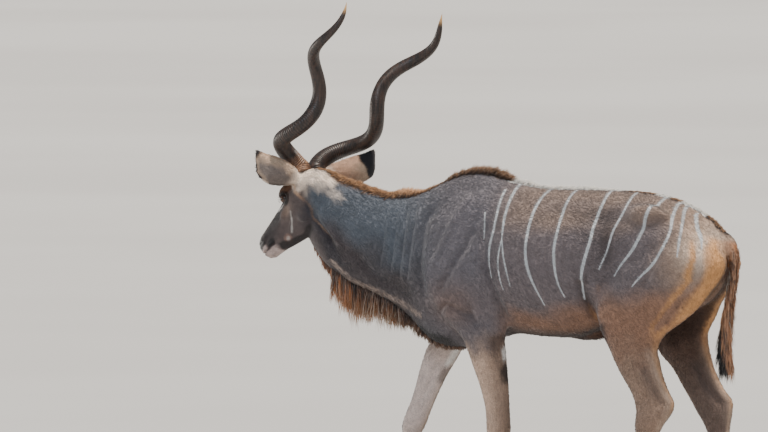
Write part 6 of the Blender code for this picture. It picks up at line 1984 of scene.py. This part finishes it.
def hoof_material():
    """Nearly black horn with browner streaks, dusty at the sole."""
    stuff, tree, shader = new_material("kudu_hoof")
    where = node(tree, "ShaderNodeTexCoord")
    apart = node(tree, "ShaderNodeSeparateXYZ")
    tree.links.new(where.outputs["Object"], apart.inputs["Vector"])
    streaks = noise(tree, 90.0, 4.0, (1.0, 1.0, 0.3))
    horn_tone = blend_colour(tree, ramp(tree, streaks, 0.35, 0.68), tuple(tone(26, 23, 23)), tuple(tone(62, 50, 43)))
    dusty = ramp(tree, apart.outputs["Z"], 0.000, 0.016, 0.5, 0.0)
    tree.links.new(blend_colour(tree, dusty, horn_tone, tuple(tone(128, 110, 92))), shader.inputs["Base Color"])
    tree.links.new(ramp(tree, streaks, 0.3, 0.7, 0.38, 0.60), shader.inputs["Roughness"])
    bump(tree, shader, streaks, 0.0008, 0.5)
    return stuff


hoof_stuff = hoof_material()
feet = []
for (side, table), word in zip(LEGS, ("fore{}_left", "fore{}_right", "hind{}_left", "hind{}_right")):
    toe_x, leg_y = table[-1][1] - 0.006, table[-1][3] * side
    for inner, inward in (("inner", -side), ("outer", side)):
        node_name = word.format("hoof") + "_" + inner
        feet.append((claw("piece_" + node_name, toe_x, leg_y, inward), node_name))
        place = Vector((table[-4][2], table[-4][3] * side + inward * 0.0185, 0.100))
        node_name = word.format("dewclaw") + "_" + inner
        run = Vector((0.55, 0.20 * inward, -0.80)).normalized()
        feet.append((small_claw("piece_" + node_name, place, run), node_name))
for piece, _ in feet:
    piece.data.materials.append(hoof_stuff)
    piece.data.shade_smooth()
    piece.data.set_sharp_from_angle(angle=math.radians(42))
print("hooves and dew claws", len(feet))

# %% [markdown]
# ## Bringing a piece to the CAD frame
# Each finished piece is moved by the one shift, inside its mesh, so its object stays at the origin.

# %% Place a piece
def settle(thing, slot, *nodes):
    """Move the mesh to the CAD frame, hang it on the root body and hide the CAD nodes it replaces; slot is not used."""
    thing.data.transform(Matrix.Translation(SHIFT))
    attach(thing, "root")
    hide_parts(*nodes)


settle(skin, "body_coat", "head", "neck", "torso", "tail", "ear_left", "ear_right",
       "foreleg_left", "foreleg_right", "hindleg_left", "hindleg_right")
for coat in coats:
    settle(coat, {"coat_head": "head_coat", "coat_neck": "neck_coat"}.get(coat.name, "body_coat"))
for slot, piece in long_pieces:
    settle(piece, slot)
for horn, eye, word in zip(horns, eyes, ("left", "right")):
    settle(horn, "horn", "horn_" + word)
    settle(eye, "eye", "eye_" + word)
for piece, node_name in feet:
    settle(piece, "hoof", node_name)

# %% [markdown]
# ## Floor, light and camera
# A pale floor runs far past the view. A broad soft sun stands above on the right and a little behind, where
# the light came from, and a wide fill stands on the camera's side. The camera is a very long lens far off,
# behind the animal's left side, so that near and far parts keep nearly the same scale.

# %% Floor
bm = bmesh.new()
bmesh.ops.create_circle(bm, cap_ends=True, segments=96, radius=400.0)
floor = to_object("floor", bm)
stuff, tree, shader = new_material("studio_floor")
tone_of_floor = ramp(tree, noise(tree, 0.25, 2.0), 0.3, 0.7)
tree.links.new(blend_colour(tree, tone_of_floor, (0.48, 0.48, 0.48), (0.52, 0.52, 0.52)), shader.inputs["Base Color"])
shader.inputs["Roughness"].default_value = 1.0
shader.inputs["Specular IOR Level"].default_value = 0.0
floor.data.materials.append(stuff)

# %% Light and camera
CAMERA_TURN, CAMERA_RISE, CAMERA_AWAY = math.radians(30), math.radians(3), 65.0
RIGHT_HAND = Vector((math.cos(CAMERA_TURN), math.sin(CAMERA_TURN), 0))
BACK = Vector((math.sin(CAMERA_TURN) * math.cos(CAMERA_RISE), -math.cos(CAMERA_TURN) * math.cos(CAMERA_RISE),
               math.sin(CAMERA_RISE)))
UPWARD = BACK.cross(RIGHT_HAND)


def area_light(name, place, size, power, colour=(1, 1, 1)):
    data = bpy.data.lights.new(name, "AREA")
    data.shape, data.size, data.energy, data.color = "DISK", size, power, colour
    lamp = bpy.data.objects.new(name, data)
    lamp.location = place
    lamp.rotation_euler = (Vector((0, 0, 0.9)) - lamp.location).to_track_quat("-Z", "Y").to_euler()
    bpy.context.scene.collection.objects.link(lamp)


sun_data = bpy.data.lights.new("sun", "SUN")
sun_data.energy, sun_data.angle, sun_data.color = 6.0, math.radians(12), (1.0, 0.91, 0.80)
sun = bpy.data.objects.new("sun", sun_data)
sun.rotation_euler = (RIGHT_HAND * 0.25 + BACK * 0.12 + Vector((0, 0, 1.15))).to_track_quat("Z", "Y").to_euler()
bpy.context.scene.collection.objects.link(sun)
area_light("fill", BACK * 5.0 - RIGHT_HAND * 2.5 + Vector((0, 0, 4.6)), 3.0, 165, (0.76, 0.88, 1.0))
area_light("side", RIGHT_HAND * -6.0 - BACK * 2.6 + Vector((0, 0, 1.6)), 1.6, 110, (1.0, 0.93, 0.85))
world = bpy.data.worlds.new("studio")
world.use_nodes = True
world.node_tree.nodes["Background"].inputs["Color"].default_value = (0.80, 0.90, 1.0, 1)
world.node_tree.nodes["Background"].inputs["Strength"].default_value = 0.36
bpy.context.scene.world = world

camera_data = bpy.data.cameras.new("camera")
camera_data.lens, camera_data.sensor_width = 270 * CAMERA_AWAY / 768 * 36, 36
camera_data.clip_end = 900
camera = bpy.data.objects.new("camera", camera_data)
camera.matrix_world = Matrix((RIGHT_HAND, UPWARD, BACK)).transposed().to_4x4()
camera.location = RIGHT_HAND * -0.782 + UPWARD * 1.2333 + BACK * (CAMERA_AWAY - 0.15) + SHIFT
bpy.context.scene.collection.objects.link(camera)
bpy.context.scene.camera = camera


bpy.context.view_layer.update()
